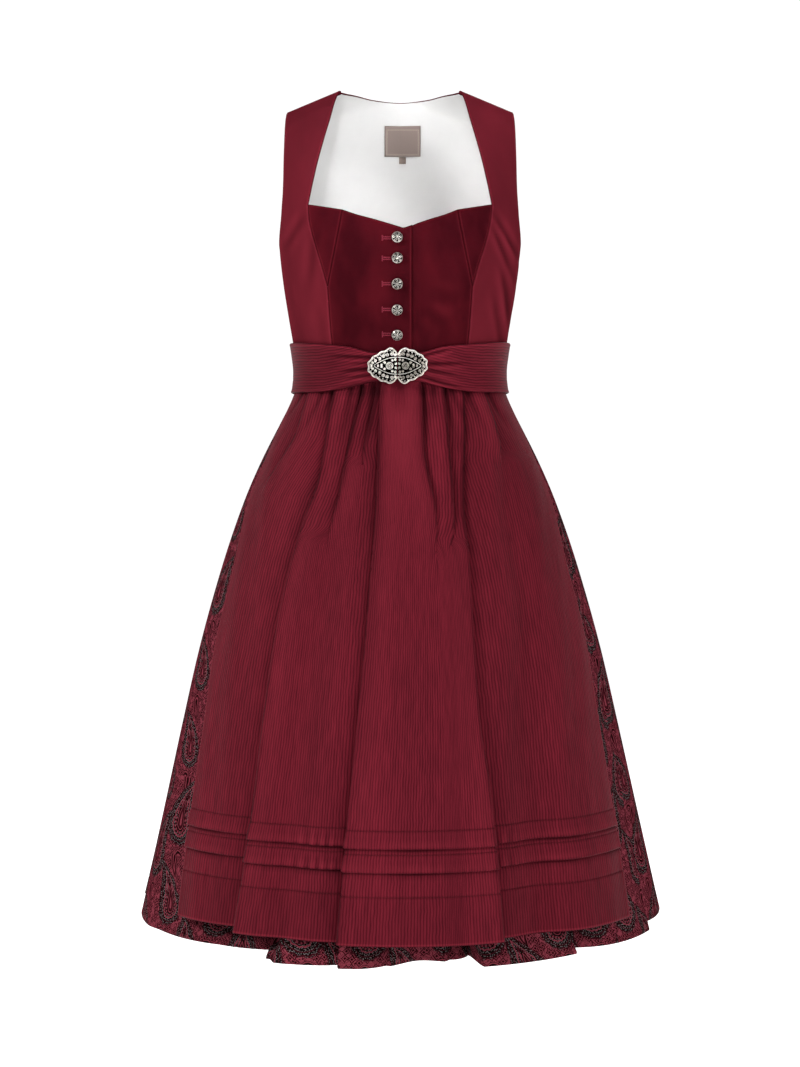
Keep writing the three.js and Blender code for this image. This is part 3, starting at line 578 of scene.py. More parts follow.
@dataclass
class Sheet:
    """One cut piece of cloth, as a closed thin wall on a form."""

    name: str
    surface: Surface
    thickness: float
    lift: Array | float = 0.0
    relief: Array | float = 0.0
    roll: float = 0.8
    # Painted light laid into the cloth's colour: 1 for a painted highlight, -1 for painted shade.
    painted_shading: Array | float = 0.0
    rolled_top: bool = True
    turned: bool = False
    obj: bpy.types.Object | None = field(default=None, init=False)

    def build(self, places: Array, finish: bpy.types.Material, grain: Array | None = None) -> "Sheet":
        """Makes the mesh.

        Args:
            places: Rows and columns of angle and level.
            finish: The cloth's material.
            grain: The distance across the cloth at each point, where it isn't that along the row.

        Returns:
            The sheet itself, with its object, its outer points and the way that they face.
        """
        base = self.surface(places[..., 0], places[..., 1])
        normals = facing(base)
        across, up = walked(base, 1), walked(base, 0)
        from_sides = np.minimum(across, across[:, -1:] - across)
        from_ends = np.minimum(up, up[-1:] - up) if self.rolled_top else up
        edge = np.minimum(from_sides, from_ends)
        rolled = self.roll * (0.28 * hump(edge - 2.1, 1.0) - hump(edge, 0.7))
        lift = np.asarray(self.lift, float) + np.zeros(edge.shape)
        self.draw_back(base)
        self.outer = base + normals * (lift + self.relief + rolled)[..., None]
        self.normals = normals
        inner = base + normals * (lift + np.minimum(self.relief, 0) * 0.6 - self.thickness)[..., None]
        right_way = np.stack([across if grain is None else grain, up], -1) * MM
        uv = right_way[..., ::-1] if self.turned else right_way
        # Painted light: a painted highlight just inside each edge, painted shade along the seam at the edge,
        # and the sheet's own painted light on top.
        painted_light = 0.8 * hump(edge - 1.9, 0.9) - hump(edge, 0.6) + self.painted_shading
        self.obj = wall_object(self.name, self.outer, inner, uv, painted_light)
        self.obj.data.materials.append(finish)
        spans = np.ptp(right_way.reshape(-1, 2), axis=0)
        self.flat = tuple(round(float(span), 3) for span in spans)
        return self

    def draw_back(self, grid: Array) -> None:
        """Draws a grid's edges back a little, so that neighbours never touch."""
        for edge, beside in (((slice(None), 0), (slice(None), 1)), ((slice(None), -1), (slice(None), -2)),
                             ((0, slice(None)), (1, slice(None))), ((-1, slice(None)), (-2, slice(None)))):
            step = grid[beside] - grid[edge]
            length = np.maximum(np.linalg.norm(step, axis=-1, keepdims=True), 1e-6)
            grid[edge] += step / length * np.minimum(DRAWN_BACK, 0.45 * length)

    def area(self) -> float:
        """The area of the outer face, in square metres."""
        one = self.outer[1:, :-1] - self.outer[:-1, :-1]
        other = self.outer[:-1, 1:] - self.outer[:-1, :-1]
        third = self.outer[1:, 1:] - self.outer[:-1, 1:]
        last = self.outer[1:, 1:] - self.outer[1:, :-1]
        pairs = ((one, other), (third, last))
        doubled = sum(np.linalg.norm(np.cross(*pair), axis=-1).sum() for pair in pairs)
        return float(doubled / 2 * MM * MM)

    def declare(self, slot: str, held: str, rests_on: Sequence[str], *nodes: str) -> None:
        """Hangs the sheet on the garment's body, hides the solids that it stands for and logs how it was cut.

        Args:
            slot: The record's material slot; not used.
            held: How the cloth is held; not used.
            rests_on: What it lies on or hangs from; not used.
            nodes: The solids that it stands for.
        """
        install(self.obj, slot, *nodes)
        width, length = (max(size, 0.011) for size in self.flat)
        area = round(min(max(self.area(), 0.31 * width * length), width * length), 6)
        LOG.info("%s cut %.3f by %.3f m, %.4f m2", self.name, width, length, area)


def placed(name: str, data: bpy.types.ID | None) -> bpy.types.Object:
    """A new object in the scene, with this data."""
    obj = bpy.data.objects.new(name, data)
    bpy.context.scene.collection.objects.link(obj)
    return obj


def wall_object(name: str, outer: Array, inner: Array, uv: Array, painted_light: Array) -> bpy.types.Object:
    """A closed wall between two grids of points.

    Args:
        name: The object's name.
        outer: The outer points, in millimetres.
        inner: The inner points.
        uv: Places in the cloth for each point, in metres.
        painted_light: Painted light laid into the colour, from 1 for a painted highlight to -1 for painted
            shade.

    Returns:
        The object, smooth and with its faces outwards.
    """
    rows, columns = outer.shape[:2]
    index = np.arange(rows * columns).reshape(rows, columns)
    back = index + rows * columns

    def quads(a: Array, b: Array, c: Array, d: Array) -> Array:
        """Faces from four arrays of corners."""
        return np.stack([a.ravel(), b.ravel(), c.ravel(), d.ravel()], -1)

    faces = np.concatenate([
        quads(index[:-1, :-1], index[:-1, 1:], index[1:, 1:], index[1:, :-1]),
        quads(back[:-1, :-1], back[1:, :-1], back[1:, 1:], back[:-1, 1:]),
        quads(index[:-1, 0], index[1:, 0], back[1:, 0], back[:-1, 0]),
        quads(index[:-1, -1], back[:-1, -1], back[1:, -1], index[1:, -1]),
        quads(index[0, :-1], back[0, :-1], back[0, 1:], index[0, 1:]),
        quads(index[-1, :-1], index[-1, 1:], back[-1, 1:], back[-1, :-1]),
    ])
    points = np.concatenate([outer.reshape(-1, 3), inner.reshape(-1, 3)]) * MM
    corners = points[faces]
    volume = np.einsum("ij,ij->i", corners[:, 0], np.cross(corners[:, 1], corners[:, 2]))
    volume = volume + np.einsum("ij,ij->i", corners[:, 0], np.cross(corners[:, 2], corners[:, 3]))
    if volume.sum() < 0:
        faces = faces[:, ::-1]
    mesh = bpy.data.meshes.new(name)
    mesh.from_pydata(points, [], faces)
    corner_points = np.empty(len(mesh.loops), np.int64)
    mesh.loops.foreach_get("vertex_index", corner_points)
    layer = mesh.uv_layers.new(name="cloth")
    both = np.concatenate([uv.reshape(-1, 2)] * 2)
    layer.data.foreach_set("uv", both[corner_points].astype(np.float32).ravel())
    # Painted light goes on the outer face only.
    near = np.concatenate([painted_light.ravel(), np.zeros(painted_light.size)]).astype(np.float32)
    mesh.attributes.new("painted_light", "FLOAT", "POINT").data.foreach_set("value", near)
    mesh.shade_smooth()
    return placed(name, mesh)


def install(obj: bpy.types.Object, slot: str | None, *nodes: str) -> bpy.types.Object:
    """Makes a piece ride on the garment's one body.

    Args:
        obj: The piece.
        slot: The record's material slot, or None for thread; not used.
        nodes: The solids that it stands for.

    Returns:
        The piece.
    """
    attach(obj, "root")
    if nodes:
        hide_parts(*nodes)
    LOG.info("%s: %d faces", obj.name, len(obj.data.polygons))
    return obj


# ------------------------------------------------------------------ finishes


def linear(code: str, alpha: float = 1.0) -> tuple[float, float, float, float]:
    """A linear colour from an sRGB hex code such as #aabbcc."""
    shares = [int(code[i : i + 2], 16) / 255 for i in (1, 3, 5)]
    red, green, blue = (c / 12.92 if c <= 0.04045 else ((c + 0.055) / 1.055) ** 2.4 for c in shares)
    return red, green, blue, alpha


def add_node(tree: bpy.types.NodeTree, kind: str, inputs: dict | None = None,
             **settings: object) -> bpy.types.Node:
    """Adds a node.

    Args:
        tree: The material's node tree.
        kind: The node's type.
        inputs: Values or linked sockets, by the input's name or number.
        settings: The node's own settings.

    Returns:
        The node.
    """
    node = tree.nodes.new(kind)
    for name, value in settings.items():
        setattr(node, name, value)
    for name, value in (inputs or {}).items():
        if isinstance(value, bpy.types.NodeSocket):
            tree.links.new(value, node.inputs[name])
        else:
            node.inputs[name].default_value = value
    return node


def work_out(tree: bpy.types.NodeTree, values: dict, *steps: tuple) -> dict:
    """Works out a formula step by step.

    Args:
        tree: The material's node tree.
        values: Sockets by name, to which each step adds its own.
        steps: Tuples of a name, a math operation and its inputs, which are names or numbers.

    Returns:
        The sockets by name.
    """
    for name, operation, *inputs in steps:
        links = {i: values[item] if isinstance(item, str) else item for i, item in enumerate(inputs)}
        values[name] = add_node(tree, "ShaderNodeMath", links, operation=operation).outputs[0]
    return values


def painted(tree: bpy.types.NodeTree, base: object, *layers: tuple) -> bpy.types.NodeSocket:
    """Lays colours over each other.

    Args:
        tree: The material's node tree.
        base: The colour or socket underneath.
        layers: Pairs of a mask and the colour or socket that it lets through.

    Returns:
        The colour on top.
    """
    colour = base
    for mask, over in layers:
        inputs = {0: mask, 6: colour, 7: over}
        colour = add_node(tree, "ShaderNodeMix", inputs, data_type="RGBA").outputs[2]
    return colour


@dataclass(frozen=True)
class Finish:
    """A finish of the garment, by its name."""

    name: str

    def look(self, tree: bpy.types.NodeTree) -> dict:
        """The shader's inputs, and its relief as a height, strength and depth in millimetres."""
        raise NotImplementedError

    def make(self) -> bpy.types.Material:
        """The material."""
        material = bpy.data.materials.new(self.name)
        material.use_nodes = True
        tree = material.node_tree
        tree.nodes.clear()
        inputs = self.look(tree)
        if "Relief" in inputs:
            height, strength, depth = inputs.pop("Relief")
            relief = {"Height": height, "Strength": strength, "Distance": depth * MM}
            inputs["Normal"] = add_node(tree, "ShaderNodeBump", relief).outputs[0]
        shader = add_node(tree, "ShaderNodeBsdfPrincipled", inputs)
        add_node(tree, "ShaderNodeOutputMaterial", {0: shader.outputs[0]})
        return material


@dataclass(frozen=True)
class Velvet(Finish):
    """Cotton velvet, woven with a cut pile: dark where it is looked into, bright where it leans away."""

    pile: str
    depth: str
    # The next colour is that of painted highlights, and shadow that of painted shade, both laid on by the
    # mesh's painted light.
    painted_light: str
    sheen: str
    shadow: str = "#24070b"
    nap_mm: float = 38.0
    pile_mm: float = 0.8

    def look(self, tree: bpy.types.NodeTree) -> dict:
        """The shader's inputs."""
        place = add_node(tree, "ShaderNodeTexCoord").outputs["Object"]
        long_nap = add_node(tree, "ShaderNodeMapping", {0: place, 3: (1, 1, 0.45)}).outputs[0]
        scale = 1 / (self.nap_mm * MM)
        nap = add_node(tree, "ShaderNodeTexNoise", {"Vector": long_nap, "Scale": scale, "Detail": 3.0})
        brushed = add_node(tree, "ShaderNodeMapRange", {0: nap.outputs[0], 1: 0.38, 2: 0.66}).outputs[0]
        # Painted light from the mesh: a painted highlight where it is positive, painted shade where it is
        # negative.
        painted_light = add_node(tree, "ShaderNodeAttribute", attribute_name="painted_light").outputs["Fac"]
        grain_scale = 1 / (self.pile_mm * MM)
        grain = add_node(tree, "ShaderNodeTexNoise", {"Vector": place, "Scale": grain_scale, "Detail": 2.0})
        masks = work_out(
            tree,
            {"painted_light": painted_light, "brushed": brushed, "grain": grain.outputs[0]},
            ("painted_lit", "MAXIMUM", "painted_light", 0.0),
            ("worn", "MULTIPLY", "painted_lit", 0.5),
            ("painted_dark", "MINIMUM", "painted_light", 0.0),
            ("painted_shade", "MULTIPLY", "painted_dark", -0.75),
            ("speck", "MULTIPLY_ADD", "grain", 0.5, "brushed"),
            ("nap", "MULTIPLY_ADD", "speck", 0.7, -0.05),
        )
        colour = painted(tree, linear(self.depth), (masks["nap"], linear(self.pile)),
                         (masks["worn"], linear(self.painted_light)), (masks["painted_shade"], linear(self.shadow)))
        return {
            "Base Color": colour, "Roughness": 0.85, "Specular IOR Level": 0.0, "Sheen Weight": 0.3,
            "Specular Tint": linear(self.sheen), "Sheen Roughness": 0.35, "Sheen Tint": linear(self.sheen),
            "Relief": (grain.outputs[0], 0.25, 0.4)}


@dataclass(frozen=True)
class CordedSilk(Finish):
    """Silk blend woven with fine raised cords: a satin gleam on the cords and shade between them."""

    crest: str
    valley: str
    sheen: str
    # gleam is the colour of the painted highlight, and shadow that of the painted shade.
    gleam: str = "#7c2632"
    shadow: str = "#26070c"
    cord_mm: float = 3.6
    crinkle_mm: float = 1.6

    def look(self, tree: bpy.types.NodeTree) -> dict:
        """The shader's inputs. The cords run along the cloth's second direction."""
        cloth = add_node(tree, "ShaderNodeUVMap", uv_map="cloth").outputs[0]
        parts = add_node(tree, "ShaderNodeSeparateXYZ", {0: cloth}).outputs
        drift = add_node(tree, "ShaderNodeTexNoise", {"Vector": cloth, "Scale": 60.0, "Detail": 2.0})
        stretched = add_node(tree, "ShaderNodeMapping", {0: cloth, 3: (1, 0.12, 1)}).outputs[0]
        uneven = add_node(tree, "ShaderNodeTexNoise", {"Vector": stretched, "Scale": 260.0, "Detail": 2.0})
        broad = add_node(tree, "ShaderNodeTexNoise", {"Vector": stretched, "Scale": 22.0, "Detail": 2.0})
        short = add_node(tree, "ShaderNodeMapping", {0: cloth, 3: (0.5, 1, 1)}).outputs[0]
        crinkle_scale = 1 / (self.crinkle_mm * MM)
        crinkle = add_node(tree, "ShaderNodeTexNoise", {"Vector": short, "Scale": crinkle_scale,
                                                        "Detail": 2.0})
        # The cord stripes are partly the weave's own tone and partly painted shade in the valleys between the
        # cords.
        waves = work_out(
            tree,
            {"u": parts[0], "drift": drift.outputs[0], "uneven": uneven.outputs[0],
             "broad": broad.outputs[0], "crinkle": crinkle.outputs[0]},
            ("moved", "MULTIPLY_ADD", "drift", 0.9 * self.cord_mm * MM, "u"),
            ("turn", "MULTIPLY", "moved", math.pi / (self.cord_mm * MM)),
            ("wave", "SINE", "turn"),
            ("cord", "ABSOLUTE", "wave"),
            ("round", "POWER", "cord", 0.6),
            ("strength", "SUBTRACT", "uneven", 0.5),
            ("tone", "MULTIPLY_ADD", "strength", 0.9, "round"),
            ("wide", "SUBTRACT", "broad", 0.5),
            ("shade", "MULTIPLY_ADD", "wide", 0.8, "tone"),
            ("mask", "MULTIPLY_ADD", "shade", 1.05, -0.22),
            ("height", "MULTIPLY_ADD", "crinkle", 0.35, "round"),
        )
        # Painted light from the mesh: a painted highlight in the gleam colour where it is positive, painted
        # shade where it is negative.
        painted_light = add_node(tree, "ShaderNodeAttribute", attribute_name="painted_light").outputs["Fac"]
        masks = work_out(
            tree,
            {"painted_light": painted_light},
            ("painted_lit", "MAXIMUM", "painted_light", 0.0),
            ("gleam", "MULTIPLY", "painted_lit", 0.5),
            ("painted_dark", "MINIMUM", "painted_light", 0.0),
            ("painted_shade", "MULTIPLY", "painted_dark", -0.8),
        )
        mask = add_node(tree, "ShaderNodeClamp", {0: waves["mask"]}).outputs[0]
        painted_shade = add_node(tree, "ShaderNodeClamp", {0: masks["painted_shade"]}).outputs[0]
        colour = painted(tree, linear(self.valley), (mask, linear(self.crest)),
                         (masks["gleam"], linear(self.gleam)), (painted_shade, linear(self.shadow)))
        return {
            "Base Color": colour, "Roughness": 0.5, "Specular IOR Level": 0.08, "Sheen Weight": 0.03,
            "Specular Tint": linear(self.sheen), "Sheen Tint": linear(self.sheen),
            "Relief": (waves["height"], 0.55, 0.5)}


def drop_steps(mark: str, body: float, tall: float, bend: float) -> tuple:
    """The steps of a bent teardrop's field, which is 1 on its outline and 0 in its middle.

    Args:
        mark: The letter that ends the names of its sockets, of which x and y exist.
        body: The radius of its round end, in millimetres.
        tall: Its height above the middle of that.
        bend: How far its tip bends aside.

    Returns:
        Steps for work_out.
    """
    steps = (
        ("climb", "DIVIDE", "y", tall),
        ("t", "MAXIMUM", "climb", 0.0),
        ("t2", "MULTIPLY", "t", "t"),
        ("bent", "MULTIPLY_ADD", "t2", -bend, "x"),
        ("below", "MINIMUM", "y", 0.0),
        ("q2", "MULTIPLY", "bent", "bent"),
        ("square", "MULTIPLY_ADD", "below", "below", "q2"),
        ("radius", "SQRT", "square"),
        ("taper", "POWER", "t", 1.7),
        ("f", "MULTIPLY_ADD", "radius", 1 / body, "taper"),
    )
    marked = []
    for name, operation, *inputs in steps:
        marked.append((name + mark, operation, *[i + mark if isinstance(i, str) else i for i in inputs]))
    return tuple(marked)


@dataclass(frozen=True)
class PaisleyCotton(Finish):
    """Printed cotton: bent teardrops ringed with dots and beads, in a half drop on a ground of florets."""

    ground: str
    dark: str
    red: str
    grey: str
    wide_mm: float = 50.0
    high_mm: float = 96.0
    floret_mm: float = 8.2
    vine_mm: float = 15.0
    dot_mm: float = 2.2

    def look(self, tree: bpy.types.NodeTree) -> dict:
        """The shader's inputs."""
        cloth = add_node(tree, "ShaderNodeUVMap", uv_map="cloth").outputs[0]
        wobble = add_node(tree, "ShaderNodeTexNoise", {"Vector": cloth, "Scale": 70.0, "Detail": 1.0})
        warped = add_node(tree, "ShaderNodeVectorMath", {0: wobble.outputs[1], 1: (4 * MM,) * 3, 2: cloth},
                          operation="MULTIPLY_ADD").outputs[0]
        parts = add_node(tree, "ShaderNodeSeparateXYZ", {0: warped}).outputs
        dots = add_node(tree, "ShaderNodeTexVoronoi", {"Vector": cloth, "Scale": 1 / (self.dot_mm * MM)},
                        voronoi_dimensions="2D")
        florets = add_node(tree, "ShaderNodeTexVoronoi", {
            "Vector": warped, "Scale": 1 / (self.floret_mm * MM), "Randomness": 0.8, "Exponent": 0.75},
            voronoi_dimensions="2D", distance="MINKOWSKI")
        vines = add_node(tree, "ShaderNodeTexNoise", {
            "Vector": warped, "Scale": 1 / (self.vine_mm * MM), "Detail": 1.0, "Distortion": 1.2})
        v = work_out(
            tree,
            {"u": parts[0], "v": parts[1], "dots": dots.outputs["Distance"],
             "bloom": florets.outputs["Distance"], "swell": vines.outputs[0]},
            ("column", "DIVIDE", "u", self.wide_mm * MM),
            ("whole", "FLOOR", "column"),
            ("odd", "FLOORED_MODULO", "whole", 2.0),
            ("row", "DIVIDE", "v", self.high_mm * MM),
            ("moved_row", "MULTIPLY_ADD", "odd", 0.5, "row"),
            ("cell", "FLOOR", "moved_row"),
        )
        cell = add_node(tree, "ShaderNodeCombineXYZ", {0: v["whole"], 1: v["cell"]})
        v["chance"] = add_node(tree, "ShaderNodeTexWhiteNoise", {"Vector": cell.outputs[0]}).outputs["Value"]
        v = work_out(
            tree,
            v,
            ("in_column", "FRACT", "column"),
            ("in_row", "FRACT", "moved_row"),
            ("aside", "MULTIPLY_ADD", "in_column", self.wide_mm, -self.wide_mm / 2),
            ("coin", "GREATER_THAN", "chance", 0.45),
            ("flip", "MULTIPLY_ADD", "coin", -2.0, 1.0),
            ("swell_by", "MULTIPLY_ADD", "chance", 0.45, 0.85),
            ("grown", "MULTIPLY", "flip", "swell_by"),
            ("xA", "MULTIPLY", "aside", "grown"),
            ("start", "MULTIPLY_ADD", "in_row", self.high_mm, -self.high_mm / 2 + 8),
            ("hop", "MULTIPLY_ADD", "chance", 12.0, "start"),
            ("yA", "MULTIPLY", "hop", "swell_by"),
            *drop_steps("A", 13.0, 42.0, 15.0),
            ("half_row", "ADD", "moved_row", 0.53),
            ("in_half", "FRACT", "half_row"),
            ("xB", "MULTIPLY_ADD", "xA", -1.0, 4.0),
            ("yB", "MULTIPLY_ADD", "in_half", -self.high_mm, self.high_mm / 2),
            *drop_steps("B", 6.4, 23.0, 8.0),
            ("bearing", "ARCTAN2", "yA", "bentA"),
            ("turns", "MULTIPLY", "bearing", 15.0),
            ("beads", "SINE", "turns"),
            ("fringe", "MULTIPLY_ADD", "beads", 0.05, "fA"),
            ("contour", "MULTIPLY", "swell", 11.0),
            ("in_contour", "FRACT", "contour"),
            ("is_dot", "LESS_THAN", "dots", 0.25),
            ("is_halo", "LESS_THAN", "fringe", 1.95),
            ("is_body", "LESS_THAN", "fA", 1.04),
            ("is_band", "COMPARE", "fA", 0.82, 0.1),
            ("bead_here", "GREATER_THAN", "beads", 0.2),
        )
        colours = {name: linear(getattr(self, name)) for name in ("ground", "dark", "red", "grey")}
        printed = colours["ground"]
        # Each row prints a colour where its operation gives 1: ground cover, buds, halo, body and core.
        for ink, operation, *inputs in (
            ("red", "COMPARE", "in_contour", 0.5, 0.13),
            ("red", "LESS_THAN", "bloom", 0.62),
            ("dark", "COMPARE", "bloom", 0.6, 0.07),
            ("ground", "COMPARE", "bloom", 0.36, 0.08),
            ("dark", "LESS_THAN", "bloom", 0.18),
            ("dark", "LESS_THAN", "fB", 1.5),
            ("ground", "COMPARE", "fB", 1.3, 0.09),
            ("red", "LESS_THAN", "fB", 0.95),
            ("ground", "COMPARE", "fB", 0.62, 0.12),
            ("dark", "LESS_THAN", "fB", 0.25),
            ("dark", "LESS_THAN", "fringe", 1.95),
            ("grey", "MULTIPLY", "is_halo", "is_dot"),
            ("red", "COMPARE", "fringe", 1.86, 0.05),
            ("red", "COMPARE", "fA", 1.56, 0.045),
            ("ground", "COMPARE", "fringe", 1.13, 0.07),
            ("dark", "LESS_THAN", "fA", 1.04),
            ("grey", "MULTIPLY", "is_body", "is_dot"),
            ("red", "COMPARE", "fA", 0.82, 0.1),
            ("ground", "MULTIPLY", "bead_here", "is_band"),
            ("dark", "LESS_THAN", "fA", 0.68),
            ("ground", "COMPARE", "fA", 0.5, 0.04),
            ("red", "LESS_THAN", "fA", 0.36),
            ("ground", "LESS_THAN", "fA", 0.16),
        ):
            mask = work_out(tree, v, ("mask", operation, *inputs))["mask"]
            printed = painted(tree, printed, (mask, colours[ink]))
        faded = add_node(tree, "ShaderNodeTexNoise", {"Vector": cloth, "Scale": 900.0, "Detail": 2.0})
        thread = add_node(tree, "ShaderNodeMapRange", {0: faded.outputs[0], 1: 0.3, 2: 0.7, 3: 0.0, 4: 0.45})
        colour = painted(tree, printed, (thread.outputs[0], colours["dark"]))
        return {
            "Base Color": colour, "Roughness": 0.8, "Specular IOR Level": 0.0,
            "Relief": (faded.outputs[0], 0.2, 0.2)}


@dataclass(frozen=True)
class PlainCloth(Finish):
    """Plain woven cloth, such as cotton lining or a taupe satin label, matt with a faint weave."""

    colour: str
    shade: str
    weave_mm: float = 0.9
    roughness: float = 0.8
    sheen: float = 0.2

    def look(self, tree: bpy.types.NodeTree) -> dict:
        """The shader's inputs."""
        cloth = add_node(tree, "ShaderNodeUVMap", uv_map="cloth").outputs[0]
        weave = add_node(tree, "ShaderNodeTexChecker", {"Vector": cloth, "Scale": 1 / (self.weave_mm * MM)})
        soft = add_node(tree, "ShaderNodeTexNoise", {"Vector": cloth, "Scale": 30.0, "Detail": 3.0})
        mask = add_node(tree, "ShaderNodeMapRange", {0: soft.outputs[0], 1: 0.3, 2: 0.75}).outputs[0]
        colour = painted(tree, linear(self.colour), (mask, linear(self.shade)))
        return {
            "Base Color": colour, "Roughness": self.roughness, "Specular IOR Level": 0.3,
            "Sheen Weight": self.sheen, "Relief": (weave.outputs[1], 0.12, 0.15)}


@dataclass(frozen=True)
class WovenLabel(Finish):
    """A woven satin label, bare but for a narrow double border."""

    ground: str
    border: str
    wide_mm: float
    high_mm: float
    inset_mm: float = 2.4

    def look(self, tree: bpy.types.NodeTree) -> dict:
        """The shader's inputs."""
        cloth = add_node(tree, "ShaderNodeUVMap", uv_map="cloth").outputs[0]
        parts = add_node(tree, "ShaderNodeSeparateXYZ", {0: cloth}).outputs
        masks = work_out(
            tree,
            {"u": parts[0], "v": parts[1]},
            ("right", "SUBTRACT", self.wide_mm * MM, "u"),
            ("top", "SUBTRACT", self.high_mm * MM, "v"),
            ("side", "MINIMUM", "u", "right"),
            ("end", "MINIMUM", "v", "top"),
            ("edge", "MINIMUM", "side", "end"),
            ("line", "COMPARE", "edge", self.inset_mm * MM, 0.28 * MM),
            ("fine", "COMPARE", "edge", (self.inset_mm + 1.1) * MM, 0.16 * MM),
            ("both", "MAXIMUM", "line", "fine"),
            ("mask", "MULTIPLY", "both", 0.7),
            ("turn", "MULTIPLY", "v", 2 * math.pi / (0.8 * MM)),
            ("rib", "SINE", "turn"),
        )
        colour = painted(tree, linear(self.ground), (masks["mask"], linear(self.border)))
        return {
            "Base Color": colour, "Roughness": 0.55, "Specular IOR Level": 0.35, "Sheen Weight": 0.2,
            "Relief": (masks["rib"], 0.2, 0.1)}


@dataclass(frozen=True)
class OldSilver(Finish):
    """Cast antique silver, brushed bright on top and dark with tarnish in the hollows."""

    bright: str
    tarnish: str
    worn: float
    roughness: float = 0.3

    def look(self, tree: bpy.types.NodeTree) -> dict:
        """The shader's inputs."""
        place = add_node(tree, "ShaderNodeTexCoord").outputs["Object"]
        spots = add_node(tree, "ShaderNodeTexNoise", {"Vector": place, "Scale": 420.0, "Detail": 3.0})
        low, high = self.worn - 0.14, self.worn + 0.14
        mask = add_node(tree, "ShaderNodeMapRange", {0: spots.outputs[0], 1: low, 2: high}).outputs[0]
        colour = painted(tree, linear(self.tarnish), (mask, linear(self.bright)))
        grain = add_node(tree, "ShaderNodeTexNoise", {"Vector": place, "Scale": 2500.0, "Detail": 1.0})
        return {
            "Base Color": colour, "Metallic": 1.0, "Roughness": self.roughness,
            "Relief": (grain.outputs[0], 0.15, 0.1)}


@dataclass(frozen=True)
class PaleFloor(Finish):
    """A pale floor that glows a little, so that no shadow lies dark on it."""

    def look(self, tree: bpy.types.NodeTree) -> dict:
        """The shader's inputs."""
        return {"Base Color": linear("#fbfbfb"), "Roughness": 0.9, "Emission Color": (1, 1, 1, 1),
                "Emission Strength": 0.7}


@dataclass(frozen=True)
class Thread(Finish):
    """Twisted sewing thread with a soft gleam."""

    colour: str
    shade: str

    def look(self, tree: bpy.types.NodeTree) -> dict:
        """The shader's inputs."""
        place = add_node(tree, "ShaderNodeTexCoord").outputs["Object"]
        twist = add_node(tree, "ShaderNodeTexNoise", {"Vector": place, "Scale": 1500.0})
        colour = painted(tree, linear(self.colour), (twist.outputs[0], linear(self.shade)))
        return {
            "Base Color": colour, "Roughness": 0.75, "Specular IOR Level": 0.1}


class Wardrobe:
    """Every finish of the garment, made once."""

    def __init__(self) -> None:
        """Makes the materials."""
        self.dark_velvet = Velvet(
            "centre_velvet", "#480e16", "#2d070d", "#621922", "#7a1f2b", nap_mm=42.0).make()
        self.side_velvet = Velvet(
            "side_velvet", "#621b25", "#4c141c", "#72222e", "#802a36", nap_mm=90.0).make()
        self.silk = CordedSilk("corded_silk", "#671b27", "#3c0e16", "#b03e4b").make()
        self.paisley = PaisleyCotton("paisley_cotton", "#823642", "#100706", "#3c1018", "#75686a").make()
        self.lining = PlainCloth("lining_cotton", "#d9d9d8", "#d4d4d3").make()
        self.label = WovenLabel("label_satin", "#81726b", "#a99d91", 49.0, 38.5).make()
        self.tab = PlainCloth("tab_satin", "#796a62", "#6d5f57", roughness=0.55).make()
        self.silver = OldSilver("old_silver", "#fbf8f0", "#8d877f", 0.4).make()
        # A darker copy of the silver, as painted shade on the clasp's left half.
        self.silver_in_shade = OldSilver("shaded_silver", "#d2ccc1", "#77716a", 0.5, 0.34).make()
        self.tarnished = OldSilver("tarnished_silver", "#171513", "#060505", 0.55, 0.6).make()
        self.thread = Thread("red_thread", "#5a151e", "#3f0f16").make()
        self.bright_thread = Thread("bright_thread", "#a03a4c", "#7d2636").make()


# ------------------------------------------------------------------ the bodice

BUTTON_LEVELS = (-187.0, -212.0, -242.5, -273.0, -302.5)
BUTTON_X = -3.4
INSET_TOP_X = 70.5


@dataclass(frozen=True)
class Drag:
    """A soft crease in the front of the bodice, from one place to another, in x and height."""

    start: tuple[float, float]
    stop: tuple[float, float]
    depth: float
    width: float

    def measured(self, points: Array) -> tuple[Array, Array, Array, Array]:
        """Measures points along the crease.

        Args:
            points: The points, in millimetres.

        Returns:
            Their offsets from its start, its run, their shares along it, and its strength at them.
        """
        start = np.array(self.start)
        run = np.array(self.stop) - start
        offset = points[..., [0, 2]] - start
        share = (offset @ run) / float(run @ run)
        fade = eased(share, -0.1, 0.35) * (1 - eased(share, 0.65, 1.1))
        return offset, run, share, np.where(points[..., 1] < 0, fade, 0)

    def press(self, points: Array) -> Array:
        """How deep the crease presses each point in, fading towards its ends."""
        offset, run, share, strength = self.measured(points)
        distance = np.linalg.norm(offset - np.clip(share, 0, 1)[..., None] * run, axis=-1)
        return self.depth * strength * hump(distance, self.width)

    def painted_shading(self, points: Array) -> Array:
        """Painted light of the crease: a painted highlight along its banks and painted shade in its hollow.
        """
        offset, run, _, strength = self.measured(points)
        unit = run / np.linalg.norm(run)
        side = (offset[..., 0] * unit[1] - offset[..., 1] * unit[0]) / self.width
        bank = hump(side - 1.5, 1.0) + 0.6 * hump(side + 1.7, 0.9) - 0.9 * hump(side, 0.9)
        return min(self.depth / 2, 1) * strength * bank


